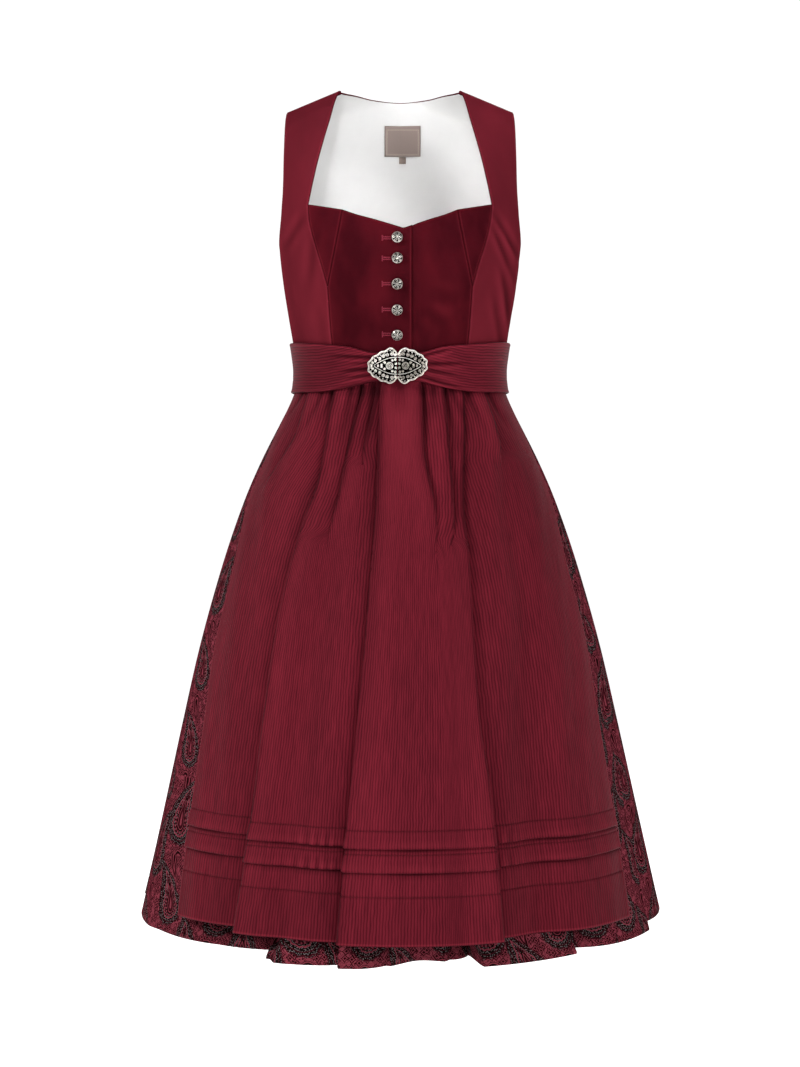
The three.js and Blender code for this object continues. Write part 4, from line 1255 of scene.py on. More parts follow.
@dataclass
class Bodice:
    """The velvet bodice: fronts, insets, side fronts with the straps, side backs and back."""

    wardrobe: Wardrobe
    front_seam: tuple = ((80, WAIST_SEAM), (81.3, -340), (83, -325), (86, -288), (88.5, -245))
    inset_rows: tuple = (
        (88.35, -244.5, 88.7, -244.5),
        (83, -218, 96, -218),
        (77.5, -190, 105.5, -188),
        (73.5, -169, 111.5, -163),
        (INSET_TOP_X, -152, 113.5, -141),
    )
    strap_rows: tuple = (
        (108.5, -116, 0.934, -120),
        (102.5, -90, 0.907, -92),
        (95.5, -65, 0.873, -60),
        (86.5, -35, 0.851, -32),
        (80.5, -13, 0.834, -12),
        (77, -3.5, 0.826, -3.5),
        (NECK_POINT_X, 0, 0.8216, 0),
    )
    side_front_outer: tuple = (
        (1, WAIST_SEAM), (1, -340), (1, -322), (1, -285), (1, -245), (1, -238), (1, -212), (1, -188),
        (0.995, -180), (0.963, -148),
    )
    back_seam: tuple = (
        (50, WAIST_SEAM), (50.8, -340), (52.6, -316), (57, -292), (68, -255), (84, -220), (101, -185),
        (118, -150), (131, -124), (137.5, -109),
    )
    back_armhole: tuple = ((141, -80), (142.5, -52), (143.5, -28), (144, -12), (144.4, -3.5), (144.6, 0))
    side_back_outer: tuple = (
        (1, WAIST_SEAM), (1, -340), (1, -316), (1, -292), (1, -255), (1, -220), (1, -188), (0.972, -162),
        (0.92, -136), (0.882, -112),
    )
    drags: tuple = (
        Drag((114, -150), (152, -206), 2.6, 4.2),
        Drag((112, -162), (146, -236), 2.2, 4.6),
        Drag((126, -212), (142, -296), 2.0, 5.0),
        Drag((116, -250), (130, -322), 1.2, 5.0),
        Drag((-116, -152), (-146, -196), 1.0, 6.0),
        Drag((-104, -166), (-112, -250), 0.9, 6.0),
        Drag((-100, -262), (-92, -335), 0.6, 7.0),
        Drag((58, -292), (30, -272), 0.8, 7.0),
        Drag((74, -262), (34, -252), 0.6, 8.0),
    )
    front_neckline = Table(
        "level height", (0, -175), (-18, -169.5), (-36, -164), (-54, -158.6), (-INSET_TOP_X, -152)
    )
    neckline_point: float = 4.5
    back_neckline = Table(
        "level dip", (0, -30.7), (-10, -27.5), (-20, -23.6), (-40, -15.2), (-58, -6.5), (-NECK_POINT_X, 0)
    )

    def edge_by_x(self, *seams: Sequence[tuple[float, float]]) -> Array:
        """An edge as angle and level, from seams of x and level, each of them a smooth line."""
        x, level = np.concatenate([smooth_line(seam) for seam in seams]).T
        return np.stack([BODICE.angle(x, level), level], -1)

    def edge_by_share(self, *seams: Sequence[tuple[float, float]]) -> Array:
        """An edge as angle and level, from seams of a share of the half width and level."""
        share, level = np.concatenate([smooth_line(seam) for seam in seams]).T
        return np.stack([angle_of_share(share, BODICE.square), level], -1)

    def panel(self, name: str, cut: Cut, finish: bpy.types.Material, **options: object) -> Sheet:
        """Makes a panel of velvet.

        Args:
            name: The piece's name.
            cut: Its outline.
            finish: Its velvet.
            options: Settings of the sheet, such as its lift.

        Returns:
            The sheet.
        """
        places = cut.places(BODICE.point)
        points = BODICE.point(places[..., 0], places[..., 1])
        pressed = sum(drag.press(points) for drag in self.drags)
        # Painted highlights and painted shade along the creases.
        painted_shading = sum(drag.painted_shading(points) for drag in self.drags)
        lift = options.pop("lift", 0.0)
        relief = options.pop("relief", 0.0) - pressed
        sheet = Sheet(name, BODICE.point, VELVET, lift=lift, relief=relief, painted_shading=painted_shading, **options)
        return sheet.build(places, finish)

    def centre_front(self, side: Side, middle: float) -> None:
        """A centre front, from a line across the middle to its seam.

        Args:
            side: The wearer's side.
            middle: The x of its edge at the middle.
        """
        inset = [(x, level) for x, level, _, _ in self.inset_rows]
        seam = self.edge_by_x(self.front_seam, inset)
        top = seam[-1, 1]
        middle_edge = np.stack([BODICE.angle(middle, seam[:, 1]), seam[:, 1]], -1)

        def to_neckline(angle: Array, level: Array, share: Array) -> Array:
            """Raises or lowers a place so that the top row follows the neckline."""
            x = BODICE.point(angle, level)[..., 0]
            climb = np.clip((level - WAIST_SEAM) / (top - WAIST_SEAM), 0, 1)
            from_point = np.abs(x - self.neckline_point * (1 - np.minimum(np.abs(x) / INSET_TOP_X, 1)))
            return (self.front_neckline.read("height", -from_point) - top) * climb**2

        cut = Cut(middle_edge, seam * (side.value, 1), rows=84, columns=34, warp=to_neckline)
        places = cut.places(BODICE.point)
        points = BODICE.point(places[..., 0], places[..., 1])
        x, z = points[..., 0], points[..., 2]
        relief = np.zeros(x.shape)
        for level in BUTTON_LEVELS:
            relief -= 0.9 * hump(np.hypot((x - BUTTON_X) / 1.6, z - level), 6.0)
            relief += 0.5 * hump(z - level - 14, 7.0) * hump(x - 8, 9.0)
            relief -= 0.7 * hump(z - level + 1.5, 2.2) * hump(x - 8, 6.0)
        lift = 0.0
        if side is Side.LEFT:
            lift = -(VELVET + SEAM_GAP) * (1 - eased(x, PLACKET_EDGE + 1, UNDERLAP_FLUSH - 3))
            relief = np.zeros(x.shape)
        name = f"centre_front_{side.word}"
        sheet = self.panel(f"{name}_velvet", cut, self.wardrobe.dark_velvet, lift=lift, relief=relief)
        sheet.declare("dark_velvet", "stretched", ["side_front_left", "side_front_right"], name)

    def inset(self, side: Side) -> None:
        """The wedge that opens out of the front seam."""
        centre = self.edge_by_x([(x, level) for x, level, _, _ in self.inset_rows]) * (side.value, 1)
        outer = self.edge_by_x([(x, level) for _, _, x, level in self.inset_rows]) * (side.value, 1)
        name = f"bust_inset_{side.word}"
        cut = Cut(centre, outer, rows=44, columns=14)
        sheet = self.panel(f"{name}_velvet", cut, self.wardrobe.dark_velvet)
        sheet.declare("dark_velvet", "stretched", [f"side_front_{side.word}"], name)

    def side_front(self, side: Side) -> None:
        """A side front, from the waist past the inset and over the shoulder."""
        inset = [(x, level) for _, _, x, level in self.inset_rows]
        neck = [(x, level) for x, level, _, _ in self.strap_rows]
        strap = [(share, level) for _, _, share, level in self.strap_rows]
        inner = self.edge_by_x(self.front_seam, inset, neck) * (side.value, 1)
        below = len(self.front_seam)
        outer_parts = (self.side_front_outer[:below], self.side_front_outer[below:], strap)
        outer = self.edge_by_share(*outer_parts) * (side.value, 1)
        name = f"side_front_{side.word}"
        cut = Cut(inner, outer, rows=110, columns=26)
        sheet = self.panel(f"{name}_velvet", cut, self.wardrobe.side_velvet)
        sheet.declare("side_velvet", "stretched", ["back_centre"], name)

    def back_cut(self, **options: object) -> Cut:
        """The outline of the centre back, with the neckline dipped out of its top."""
        edge = self.edge_by_x(self.back_seam, self.back_armhole)
        top_angle, top = edge[-1]

        def to_neckline(angle: Array, level: Array, share: Array) -> Array:
            """Lowers a place so that the top row follows the back neckline."""
            climb = np.clip((level - BODICE.reach) / (top - BODICE.reach), 0, 1)
            top_x = np.abs(BODICE.point(180 - (1 - 2 * share) * top_angle, np.full(share.shape, top))[..., 0])
            dip = np.where(top_x < NECK_POINT_X, self.back_neckline.read("dip", -top_x), 0)
            return dip * climb

        left = np.stack([180 - edge[:, 0], edge[:, 1]], -1)
        right = np.stack([180 + edge[:, 0], edge[:, 1]], -1)
        return Cut(left, right, rows=100, columns=64, warp=to_neckline, **options)

    def side_back_cut(self, side: Side, **options: object) -> Cut:
        """The outline of a side back."""
        inner = self.edge_by_x(self.back_seam)
        outer = self.edge_by_share(self.side_back_outer)
        edges = [np.stack([side.value * (180 - edge[:, 0]), edge[:, 1]], -1) for edge in (inner, outer)]
        return Cut(edges[0], edges[1], rows=70, columns=20, **options)

    def make(self) -> None:
        """Makes every panel of the bodice."""
        self.centre_front(Side.RIGHT, PLACKET_EDGE)
        self.centre_front(Side.LEFT, UNDERLAP_EDGE)
        for side in Side:
            self.inset(side)
            self.side_front(side)
            name = f"side_back_{side.word}"
            sheet = self.panel(f"{name}_velvet", self.side_back_cut(side), self.wardrobe.side_velvet)
            sheet.declare("side_velvet", "stretched", [f"side_front_{side.word}"], name)
        sheet = self.panel("back_centre_velvet", self.back_cut(), self.wardrobe.side_velvet)
        sheet.declare("side_velvet", "stretched", ["side_front_left", "side_front_right"], "back_centre")


@dataclass
class BackLining:
    """The lining of the back, cut as its panels are and a little short of the open edges, and the label."""

    wardrobe: Wardrobe
    bodice: Bodice
    label: tuple = (3.4, -16.0, -54.5, 24.5)
    tab: tuple = (3.4, -54.9, -63.5, 5.0)

    def make(self) -> None:
        """Makes the three linings, the label and its tab."""
        lift = -(VELVET + LAYER_GAP)
        cuts = {
            "lining_side_right": self.bodice.side_back_cut(Side.RIGHT, short_top=LINING_MARGIN),
            "lining_side_left": self.bodice.side_back_cut(Side.LEFT, short_top=LINING_MARGIN),
            "lining_centre": self.bodice.back_cut(short_top=LINING_MARGIN, short_sides_above=-109.0),
        }
        for name, cut in cuts.items():
            sheet = Sheet(f"{name}_cloth", BODICE.point, LINING, lift=lift, roll=0.3)
            sheet.build(cut.places(BODICE.point), self.wardrobe.lining)
            sheet.declare("lining_cotton", "stretched", ["back_centre"], name)
        label_lift = lift - LINING - LABEL_GAP
        for name, sizes, finish in (("neck_label", self.label, self.wardrobe.label),
                                    ("label_tab", self.tab, self.wardrobe.tab)):
            x, top, bottom, half = sizes
            heights = np.linspace(bottom, top, 24)[:, None]
            across = np.linspace(x + half, x - half, 30)[None, :]
            heights, across = np.broadcast_arrays(heights, across)
            level = BODICE.level_of_height(heights, across)
            angle = np.sign(across) * (180 - np.abs(BODICE.angle(across, level)))
            places = np.stack([np.where(angle < 0, angle + 360, angle), level], -1)
            curl = -0.5 * hump(heights - bottom, 5.0) * hump(np.abs(across - x) - half, 9.0)
            sheet = Sheet(f"{name}_cloth", BODICE.point, LABEL_CLOTH, lift=label_lift + curl, roll=0.2)
            sheet.build(places, finish)
            sheet.declare("label_satin", "laid", ["lining_centre_cloth"], name)


# ------------------------------------------------------------------ the skirt and the apron

APRON_FOLDS = (
    Fold(Low.TO_RIGHT, 60, ((-355, -0.83, 4), (-372, -0.82, 7), (-426, -0.775, 7.5), (-454, -0.808, 5),
                            (-480, -0.85, 2), (-505, -0.87, 0), (SKIRT_HEM, -0.8, 0))),
    Fold(Low.TO_RIGHT, 100, ((-355, -0.57, 4), (-377, -0.563, 8), (-446, -0.512, 11), (-486, -0.495, 13),
                             (-555, -0.533, 15), (-625, -0.553, 17), (-728, -0.552, 20), (-852, -0.545, 26),
                             (-1005, -0.549, 32), (SKIRT_HEM, -0.55, 33))),
    Fold(Low.TO_RIGHT, 60, ((-355, -0.31, 4), (-370, -0.301, 8), (-417, -0.331, 10), (-486, -0.335, 10),
                            (-526, -0.362, 6), (-560, -0.4, 0), (SKIRT_HEM, -0.41, 0))),
    Fold(Low.SOFT, 34, ((-355, -0.4, 0), (-520, -0.4, 0), (-581, -0.37, 5), (-662, -0.406, 8),
                        (-762, -0.42, 9), (-849, -0.425, 8), (SKIRT_HEM, -0.42, 7))),
    Fold(Low.TO_RIGHT, 30, ((-355, -0.15, 4), (-368, -0.15, 7), (-400, -0.18, 8), (-438, -0.216, 6.5),
                            (-470, -0.235, 0), (SKIRT_HEM, -0.24, 0))),
    Fold(Low.TO_RIGHT, 70, ((-355, -0.06, 4), (-368, -0.065, 7), (-446, -0.092, 9), (-525, -0.098, 9.5),
                            (-603, -0.114, 10), (-679, -0.127, 11), (-778, -0.15, 12.5), (-875, -0.169, 14),
                            (-1005, -0.185, 14.5), (SKIRT_HEM, -0.19, 14.5))),
    Fold(Low.TO_LEFT, 40, ((-355, 0.137, 4), (-370, 0.137, 7), (-446, 0.12, 8.5), (-506, 0.162, 7.5),
                           (-557, 0.18, 2), (-590, 0.19, 0), (SKIRT_HEM, 0.15, 0))),
    Fold(Low.TO_LEFT, 40, ((-355, 0.355, 5), (-372, 0.353, 8), (-438, 0.308, 10), (-522, 0.273, 8),
                           (-570, 0.255, 0), (SKIRT_HEM, 0.22, 0))),
    Fold(Low.TO_LEFT, 60, ((-355, 0.54, 5), (-375, 0.54, 8), (-440, 0.435, 10), (-506, 0.358, 11),
                           (-584, 0.328, 11), (-680, 0.309, 12), (-761, 0.304, 13), (-836, 0.324, 14),
                           (-1005, 0.328, 15), (SKIRT_HEM, 0.328, 15))),
    Fold(Low.TO_LEFT, 40, ((-355, 0.746, 5), (-374, 0.746, 8), (-404, 0.734, 8.5), (-438, 0.712, 5),
                           (-462, 0.71, 0), (SKIRT_HEM, 0.6, 0))),
    Fold(Low.SOFT, 42, ((-355, 0.74, 0), (-430, 0.74, 0), (-466, 0.717, 5), (-527, 0.658, 7),
                        (-645, 0.625, 8), (-728, 0.568, 10), (-822, 0.549, 13), (SKIRT_HEM, 0.496, 16))),
)
APRON_EDGE = Table(
    "level share",
    (-355, 0.985), (-416, 0.957), (-504, 0.94), (-550, 0.915), (-600, 0.895), (-680, 0.888), (-740, 0.87),
    (-800, 0.856), (-905, 0.84), (APRON_HEM, 0.818), (SKIRT_HEM, 0.81),
)
SKIRT_FRONT_FOLDS = (
    Fold(Low.TO_RIGHT, 110, ((-355, -0.7, 0), (-386, -0.685, 1), (-504, -0.6, 8), (SKIRT_HEM, -0.45, 42))),
    Fold(Low.TO_RIGHT, 50, ((-355, -0.3, 0), (-386, -0.29, 1), (-504, -0.25, 4), (SKIRT_HEM, -0.19, 16))),
    Fold(Low.SOFT, 40, ((-355, 0.1, 0), (-386, 0.1, 1), (-504, 0.1, 6), (SKIRT_HEM, 0.07, 36))),
    Fold(Low.TO_RIGHT, 50, ((-355, 0.5, 0), (-386, 0.48, 1), (-504, 0.42, 8), (SKIRT_HEM, 0.33, 48))),
    Fold(Low.TO_LEFT, 50, ((-355, 0.78, 0), (-386, 0.765, 1), (-504, 0.7, 6), (SKIRT_HEM, 0.6, 32))),
    Fold(Low.TO_LEFT, 46, ((-355, 0.93, 0), (-386, 0.93, 2), (-504, 0.925, 8), (-691, 0.912, 18),
                           (SKIRT_HEM, 0.885, 36))),
)


def hidden_pleats(count: int = 12, start: float = 93.0, stop: float = 267.0) -> tuple[Fold, ...]:
    """Knife pleats round the sides and back, laid away from its middle, no two neighbours alike.

    Args:
        count: How many there are.
        start: Where they begin, in degrees round.
        stop: Where they end.

    Returns:
        The pleats as folds.
    """
    pitch = (stop - start) / count
    pleats = []
    for k in range(count):
        waist = start + (k + 0.5) * pitch
        hem = waist + 0.22 * math.sin(2.3 * k + 0.7) * pitch
        middle = 9 + 2 * math.sin(1.7 * k)
        bottom = 27 + 10 * math.sin(2.9 * k + 1)
        rows = ((-355, waist, 0), (-386, mixed(waist, hem, 0.045), 5),
                (-504, mixed(waist, hem, 0.22), middle), (SKIRT_HEM, hem, bottom))
        low = Low.TO_RIGHT if waist < 180 else Low.TO_LEFT
        pleats.append(Fold(low, 42 + 8 * math.sin(1.3 * k), rows, in_degrees=True))
    return tuple(pleats)


SKIRT_FOLDS = (*SKIRT_FRONT_FOLDS, *hidden_pleats())
APRON_FADE = 6.0


def apron_edge_angle(level: Array) -> Array:
    """The angle of the apron's side edge."""
    return angle_of_share(APRON_EDGE.read("share", level), SKIRT.square(level))


def apron_drop(angle: Array, level: Array) -> Array:
    """How far the apron's folds press in, fading out just past its side edges."""
    edge = apron_edge_angle(level)
    out = np.clip((np.abs(turn_from(0, angle)) - edge) / APRON_FADE, 0, 1)
    return (1 - out * out * (3 - 2 * out)) * SKIRT.drop(APRON_FOLDS, angle, level)


def apron_surface(angle: Array, level: Array) -> Array:
    """Points of the apron's form."""
    turned = angle + SKIRT.slide(APRON_FOLDS, angle, level)
    return SKIRT.point(turned, level, apron_drop(angle, level))


def recess(angle: Array, level: Array, span: float = 9.0, steps: int = 13) -> Array:
    """How deep the skirt lies so that the apron never presses into it.

    Below the apron's hem it comes forward again, to half of that depth at its own hem.

    Args:
        angle: Degrees round.
        level: Heights.
        span: How far to each side the apron's depth counts, in degrees.
        steps: How many places are tried in that span.

    Returns:
        Depths in millimetres.
    """
    near = [apron_drop(angle + turn, level) for turn in np.linspace(-span, span, steps)]
    way = SKIRT.way_down(level)
    out = np.abs(turn_from(0, angle))
    edge = apron_edge_angle(level)
    share = np.clip((out - edge) / (90 - edge), 0, 1)
    covered = 1 - share * share * (3 - 2 * share)
    clear = mixed(0.6, 1.5, eased(way, 0, 0.03))
    return mixed(0.5, 1, eased(level, SKIRT_HEM, BELOW_APRON)) * (covered * clear + np.max(near, axis=0))


def skirt_surface(angle: Array, level: Array) -> Array:
    """Points of the skirt's form."""
    turned = angle + SKIRT.slide(SKIRT_FOLDS, angle, level)
    return SKIRT.point(turned, level, SKIRT.drop(SKIRT_FOLDS, angle, level) + recess(angle, level))


def gathered_columns(start: float, stop: float, lips: Sequence[float], widths: Sequence[float],
                     count: int) -> Array:
    """Angles across a row, closer together at the lips of its folds.

    Args:
        start: The first angle.
        stop: The last angle.
        lips: The angles to gather at.
        widths: How wide each gathering is, in degrees.
        count: How many columns there are.

    Returns:
        Rising angles.
    """
    trial = np.linspace(start, stop, 3000)
    density = np.full(trial.shape, 1.0)
    for lip, width in zip(lips, widths):
        density += 3.0 * hump(trial - lip, width)
    reached = np.concatenate([[0], np.cumsum((density[1:] + density[:-1]) / 2)])
    return np.interp(np.linspace(0, reached[-1], count), reached, trial)


def run_of_grain(folds: Sequence[Fold], angles: Array, levels: Array, grid: Array) -> Array:
    """The distance across the flat cloth at each point, so that its threads run along the lips.

    Between two lips the cloth is a strip, which is flat against the lip that it is folded at, and
    runs on out of sight behind the other. Where a fold has died out, nothing is hidden.

    Args:
        folds: The folds that lie in the cloth.
        angles: The angles of rows and columns, before any slide.
        levels: The level of each row.
        grid: The points of the cloth.

    Returns:
        Distances in millimetres, in rows and columns.
    """
    arcs = walked(grid, 1)
    crisp = [fold for fold in folds if fold.low is not Low.SOFT]
    crisp.sort(key=lambda fold: float(SKIRT.place(fold, np.array(SKIRT_HEM))))
    signs = [fold.low.value for fold in crisp]
    marks = []
    for i, level in enumerate(levels):
        at = np.array(level)
        places = [float(SKIRT.place(fold, at)) for fold in crisp]
        lips = [float(SKIRT.lip(max(float(fold.table.read("depth", at)), 0))) for fold in crisp]
        radius = float(SKIRT.radius(at))
        bounds = [place + sign * lip / radius / DEGREE for place, sign, lip in zip(places, signs, lips)]
        bounds = [angles[i, 0], *bounds, angles[i, -1]]
        marks.append(np.interp(np.maximum.accumulate(bounds), angles[i], arcs[i]))
    marks = np.array(marks)
    full = np.maximum.accumulate(np.diff(marks[::-1], axis=1), axis=0)[-1]
    full = np.maximum(full, np.diff(marks, axis=1).max(axis=0))
    starts = np.concatenate([[0], np.cumsum(full)])
    grain = np.empty(arcs.shape)
    for i, level in enumerate(levels):
        at = np.array(level)
        opened = [float(eased(fold.table.read("depth", at), 0.2, 3)) for fold in crisp]
        from_left = [0, *[o if sign > 0 else 0 for o, sign in zip(opened, signs)]]
        from_right = [*[o if sign < 0 else 0 for o, sign in zip(opened, signs)], 0]
        places, values = [], []
        for k, cloth in enumerate(full):
            seen = marks[i, k + 1] - marks[i, k]
            spare = cloth - seen
            both = max(from_left[k] + from_right[k], 1)
            left, right = spare * from_left[k] / both, spare * from_right[k] / both
            places += [marks[i, k] + 1e-4, max(marks[i, k + 1], marks[i, k] + 2e-4)]
            values += [starts[k] + left, starts[k + 1] - right]
        grain[i] = np.interp(arcs[i], places, values)
    return grain


def fine_levels(start: float, stop: float, step: float, *marks: float) -> Array:
    """Rising levels, with more of them at the hem and at each mark, where the cloth steps or is sewn.

    Args:
        start: The lowest level, that of the hem.
        stop: The highest level.
        step: The distance between levels away from the marks.
        marks: Levels that need more.

    Returns:
        Rising levels.
    """
    near = np.array([-3.0, -1.6, -0.9, -0.45, -0.15, 0.15, 0.5, 1.0, 1.8, 3.2])
    plain = np.linspace(start, stop, int((stop - start) / step) + 1)
    for mark in marks:
        plain = plain[np.abs(plain - mark) > 4]
    rolled = start + np.array(ROLL_STEPS[1:6])
    levels = np.concatenate([plain, *[mark + near for mark in marks], rolled, [start, stop]])
    levels = np.unique(np.round(levels, 3))
    return levels[(levels >= start) & (levels <= stop)]


@dataclass
class Skirt:
    """The pleated skirt, of four widths of printed cotton with seams between them."""

    wardrobe: Wardrobe
    widths: tuple = (
        ("skirt_front", -62, -51, 62, 51),
        ("skirt_left", 62, 51, 128, 125),
        ("skirt_back", 128, 125, 232, 235),
        ("skirt_right", 232, 235, 298, 309),
    )
    columns_per_degree: float = 2.2
    hem_turned: float = 24.0

    def make(self) -> None:
        """Makes the four widths."""
        levels = fine_levels(SKIRT_HEM, WAIST_SEAM, 8.0, SKIRT_HEM + self.hem_turned)
        for name, waist_start, hem_start, waist_stop, hem_stop in self.widths:
            way = SKIRT.way_down(levels)
            starts, stops = mixed(waist_start, hem_start, way), mixed(waist_stop, hem_stop, way)
            inside = [fold for fold in SKIRT_FOLDS if self.holds(fold, hem_start, hem_stop)]
            count = int((hem_stop - hem_start) * self.columns_per_degree)
            rows = []
            for start, stop, level in zip(starts, stops, levels):
                lips, spread = lips_of(inside, level)
                rows.append(gathered_columns(start, stop, lips, spread, count))
            angles = np.array(rows)
            heights = np.broadcast_to(levels[:, None], angles.shape)
            grid = skirt_surface(angles, heights)
            grain = run_of_grain(inside, angles, levels, grid)
            relief = -0.35 * hump(heights - SKIRT_HEM - self.hem_turned, 1.0)
            sheet = Sheet(f"{name}_cotton", skirt_surface, SKIRT_CLOTH, relief=relief, roll=0.5,
                          rolled_top=False)
            sheet.build(np.stack([angles, heights], -1), self.wardrobe.paisley, grain)
            sheet.declare("paisley_cotton", "gathered", ["back_centre", "side_front_left"], name)

    def holds(self, fold: Fold, start: float, stop: float) -> bool:
        """Whether a fold's lip lies in a width at the hem."""
        place = float(SKIRT.place(fold, np.array(SKIRT_HEM)))
        return start + 1 < place < stop - 1


def lips_of(folds: Sequence[Fold], level: float) -> tuple[list[float], list[float]]:
    """Where the crisp folds of a row are, and how wide their steps are, in degrees."""
    at = np.array(level)
    radius = float(SKIRT.radius(at))
    lips, spread = [], []
    for fold in folds:
        depth = float(fold.table.read("depth", at))
        if fold.low is Low.SOFT or depth < 0.1:
            continue
        lip = float(SKIRT.lip(depth)) / radius / DEGREE
        lips.append(float(SKIRT.place(fold, at)) + fold.low.value * lip / 2)
        spread.append(1.6 * lip)
    return lips, spread


@dataclass
class Apron:
    """The corded silk apron, with two tucks, a deep hem and its gathered band."""

    wardrobe: Wardrobe
    tucks: tuple = ((-879.0, -899.0), (-905.0, -925.0))
    hem_sewn: float = -951.0
    columns: int = 310
    creases: tuple = (
        Drag((-22, -331), (-84, -327), 2.6, 2.6),
        Drag((-24, -342), (-74, -347), 2.8, 2.6),
        Drag((-26, -336), (-60, -337), 1.2, 2.0),
        Drag((-24, -349), (-62, -355), 1.4, 2.2),
        Drag((-18, -357), (-80, -369), 2.4, 2.6),
        Drag((24, -329), (62, -319), 2.0, 2.4),
        Drag((24, -338), (82, -337), 2.8, 2.6),
        Drag((26, -343), (72, -353), 2.2, 2.4),
        Drag((20, -352), (80, -370), 2.4, 2.6),
        Drag((18, -358), (50, -367), 1.4, 2.0),
    )
    band_foot: float = -368.0
    band_shade: float = -371.0
    # Short gathers under the band: shares of the half width at the band and at their end, and its level.
    gathers: tuple = (
        (-0.905, -0.93, -408), (-0.72, -0.745, -436), (-0.645, -0.65, -412), (-0.46, -0.445, -452),
        (-0.375, -0.4, -418), (-0.235, -0.26, -446), (0.03, 0.02, -404), (0.215, 0.2, -440),
        (0.285, 0.27, -414), (0.43, 0.4, -456), (0.475, 0.5, -420), (0.64, 0.66, -430), (0.83, 0.85, -424),
    )
    band_edges = Table(
        "level top bottom",
        (0, -324, -360), (-36, -323, -361), (-47, -320, -364), (-59, -316.5, -367), (-72, -314.5, -370),
        (-96, -312, -373.5), (-133, -308, -373),
    )
    # Where the band is fully wide, from the middle, and how much sooner its left half is.
    full_x: float = 133.0
    left_sooner: float = 8.0

    def ruffles(self, across: Array, right: float, left: float) -> Array:
        """The small waves of a tuck, bunched up at a place on each side.

        Args:
            across: Distances from the middle, in millimetres.
            right: How far the wearer's-right bunch reaches.
            left: How far the wearer's-left bunch reaches.

        Returns:
            Waves from -1 to 1.
        """
        bunched = hump(across + 95, right) + 0.7 * hump(across - 118, left)
        return bunched * np.sin(across / 2.1 + 1.4 * np.sin(across / 13))

    def raised(self, angle: Array, level: Array) -> Array:
        """How far tucks and hem stand up, and how their stitching pulls the cloth in.

        Args:
            angle: Degrees round.
            level: Heights.

        Returns:
            Heights in millimetres.
        """
        across = angle * DEGREE * SKIRT.radius(level)
        ripple = np.sin(across / 2.1 + 1.7 * np.sin(across / 17)) * np.sin(across / 31 + 0.6)
        total = np.zeros(angle.shape)
        for sewn, edge in self.tucks:
            down = np.clip((sewn - level) / (sewn - edge), 0, 1)
            inside = (level < sewn) & (level > edge)
            rounded = np.sqrt(np.clip((level - edge) / 1.2, 0, 1))
            puckers = 1.6 * self.ruffles(across, 26.0, 22.0) * down
            total += np.where(inside, (0.5 + 2.0 * down + puckers) * rounded, 0)
            total -= np.where(level <= edge, 1.0 * hump(level - edge, 1.8), 0)
            total -= 0.5 * hump(level - sewn, 0.9) * (1 + 0.5 * ripple)
        total += 0.7 * (1 - eased(level, self.hem_sewn - 1.4, self.hem_sewn))
        total -= 0.45 * hump(level - self.hem_sewn - 0.4, 1.0)
        total += 0.25 * ripple * hump(level - self.hem_sewn, 9.0)
        return total

    def gathered(self, angle: Array, level: Array) -> Array:
        """How far each point lies in one of the short gathers under the band, from 0 to 1."""
        total = np.zeros(angle.shape)
        for start, stop, end in self.gathers:
            way = np.clip((level - self.band_foot) / (end - self.band_foot), 0, 1.3)
            place = angle_of_share(mixed(start, stop, way), SKIRT.square(level))
            aside = turn_from(place, angle) * DEGREE * SKIRT.radius(level)
            total += (1 - eased(way, 0.25, 1.1)) * hump(aside, mixed(2.6, 4.6, way))
        return np.minimum(total, 1)

    def tuck_shade(self, angle: Array, level: Array) -> Array:
        """Painted light of the tucks and the hem: painted highlights on the tucks' edges and ruffles, painted
        shade below their edges and along the stitching, and darker cloth below the hem's stitching.

        Args:
            angle: Degrees round.
            level: Heights.

        Returns:
            Shades from -1 to 1.
        """
        across = angle * DEGREE * SKIRT.radius(level)
        patchy = 0.72 + 0.28 * np.sin(across / 23 + 1.3 * np.sin(across / 41 + 0.4))
        # The cloth below the hem's stitching is a little darker.
        shade = -0.18 * (level < self.hem_sewn)
        for sewn, edge in self.tucks:
            down = np.clip((sewn - level) / (sewn - edge), 0, 1) * (level > edge)
            shade = shade + 0.75 * self.ruffles(across, 30.0, 24.0) * down
            shade += patchy * (0.4 * hump(level - edge - 4.5, 3.2) - 1.0 * hump(level - edge + 1.2, 1.9))
            shade -= 0.4 * hump(level - sewn, 1.3) * (1.2 - 0.5 * patchy)
        return shade - 0.4 * hump(level - self.hem_sewn, 1.4) * patchy

    def rumpled(self, angle: Array, level: Array) -> Array:
        """Soft unevenness of the hanging cloth, long down it and short across."""
        across = angle * DEGREE * SKIRT.radius(level)
        long_waves = np.sin(across / 11 + level / 190 + 0.8) + 0.7 * np.sin(across / 6.3 - level / 120)
        return 0.35 * long_waves * eased(-level, -WAIST_SEAM, 460)

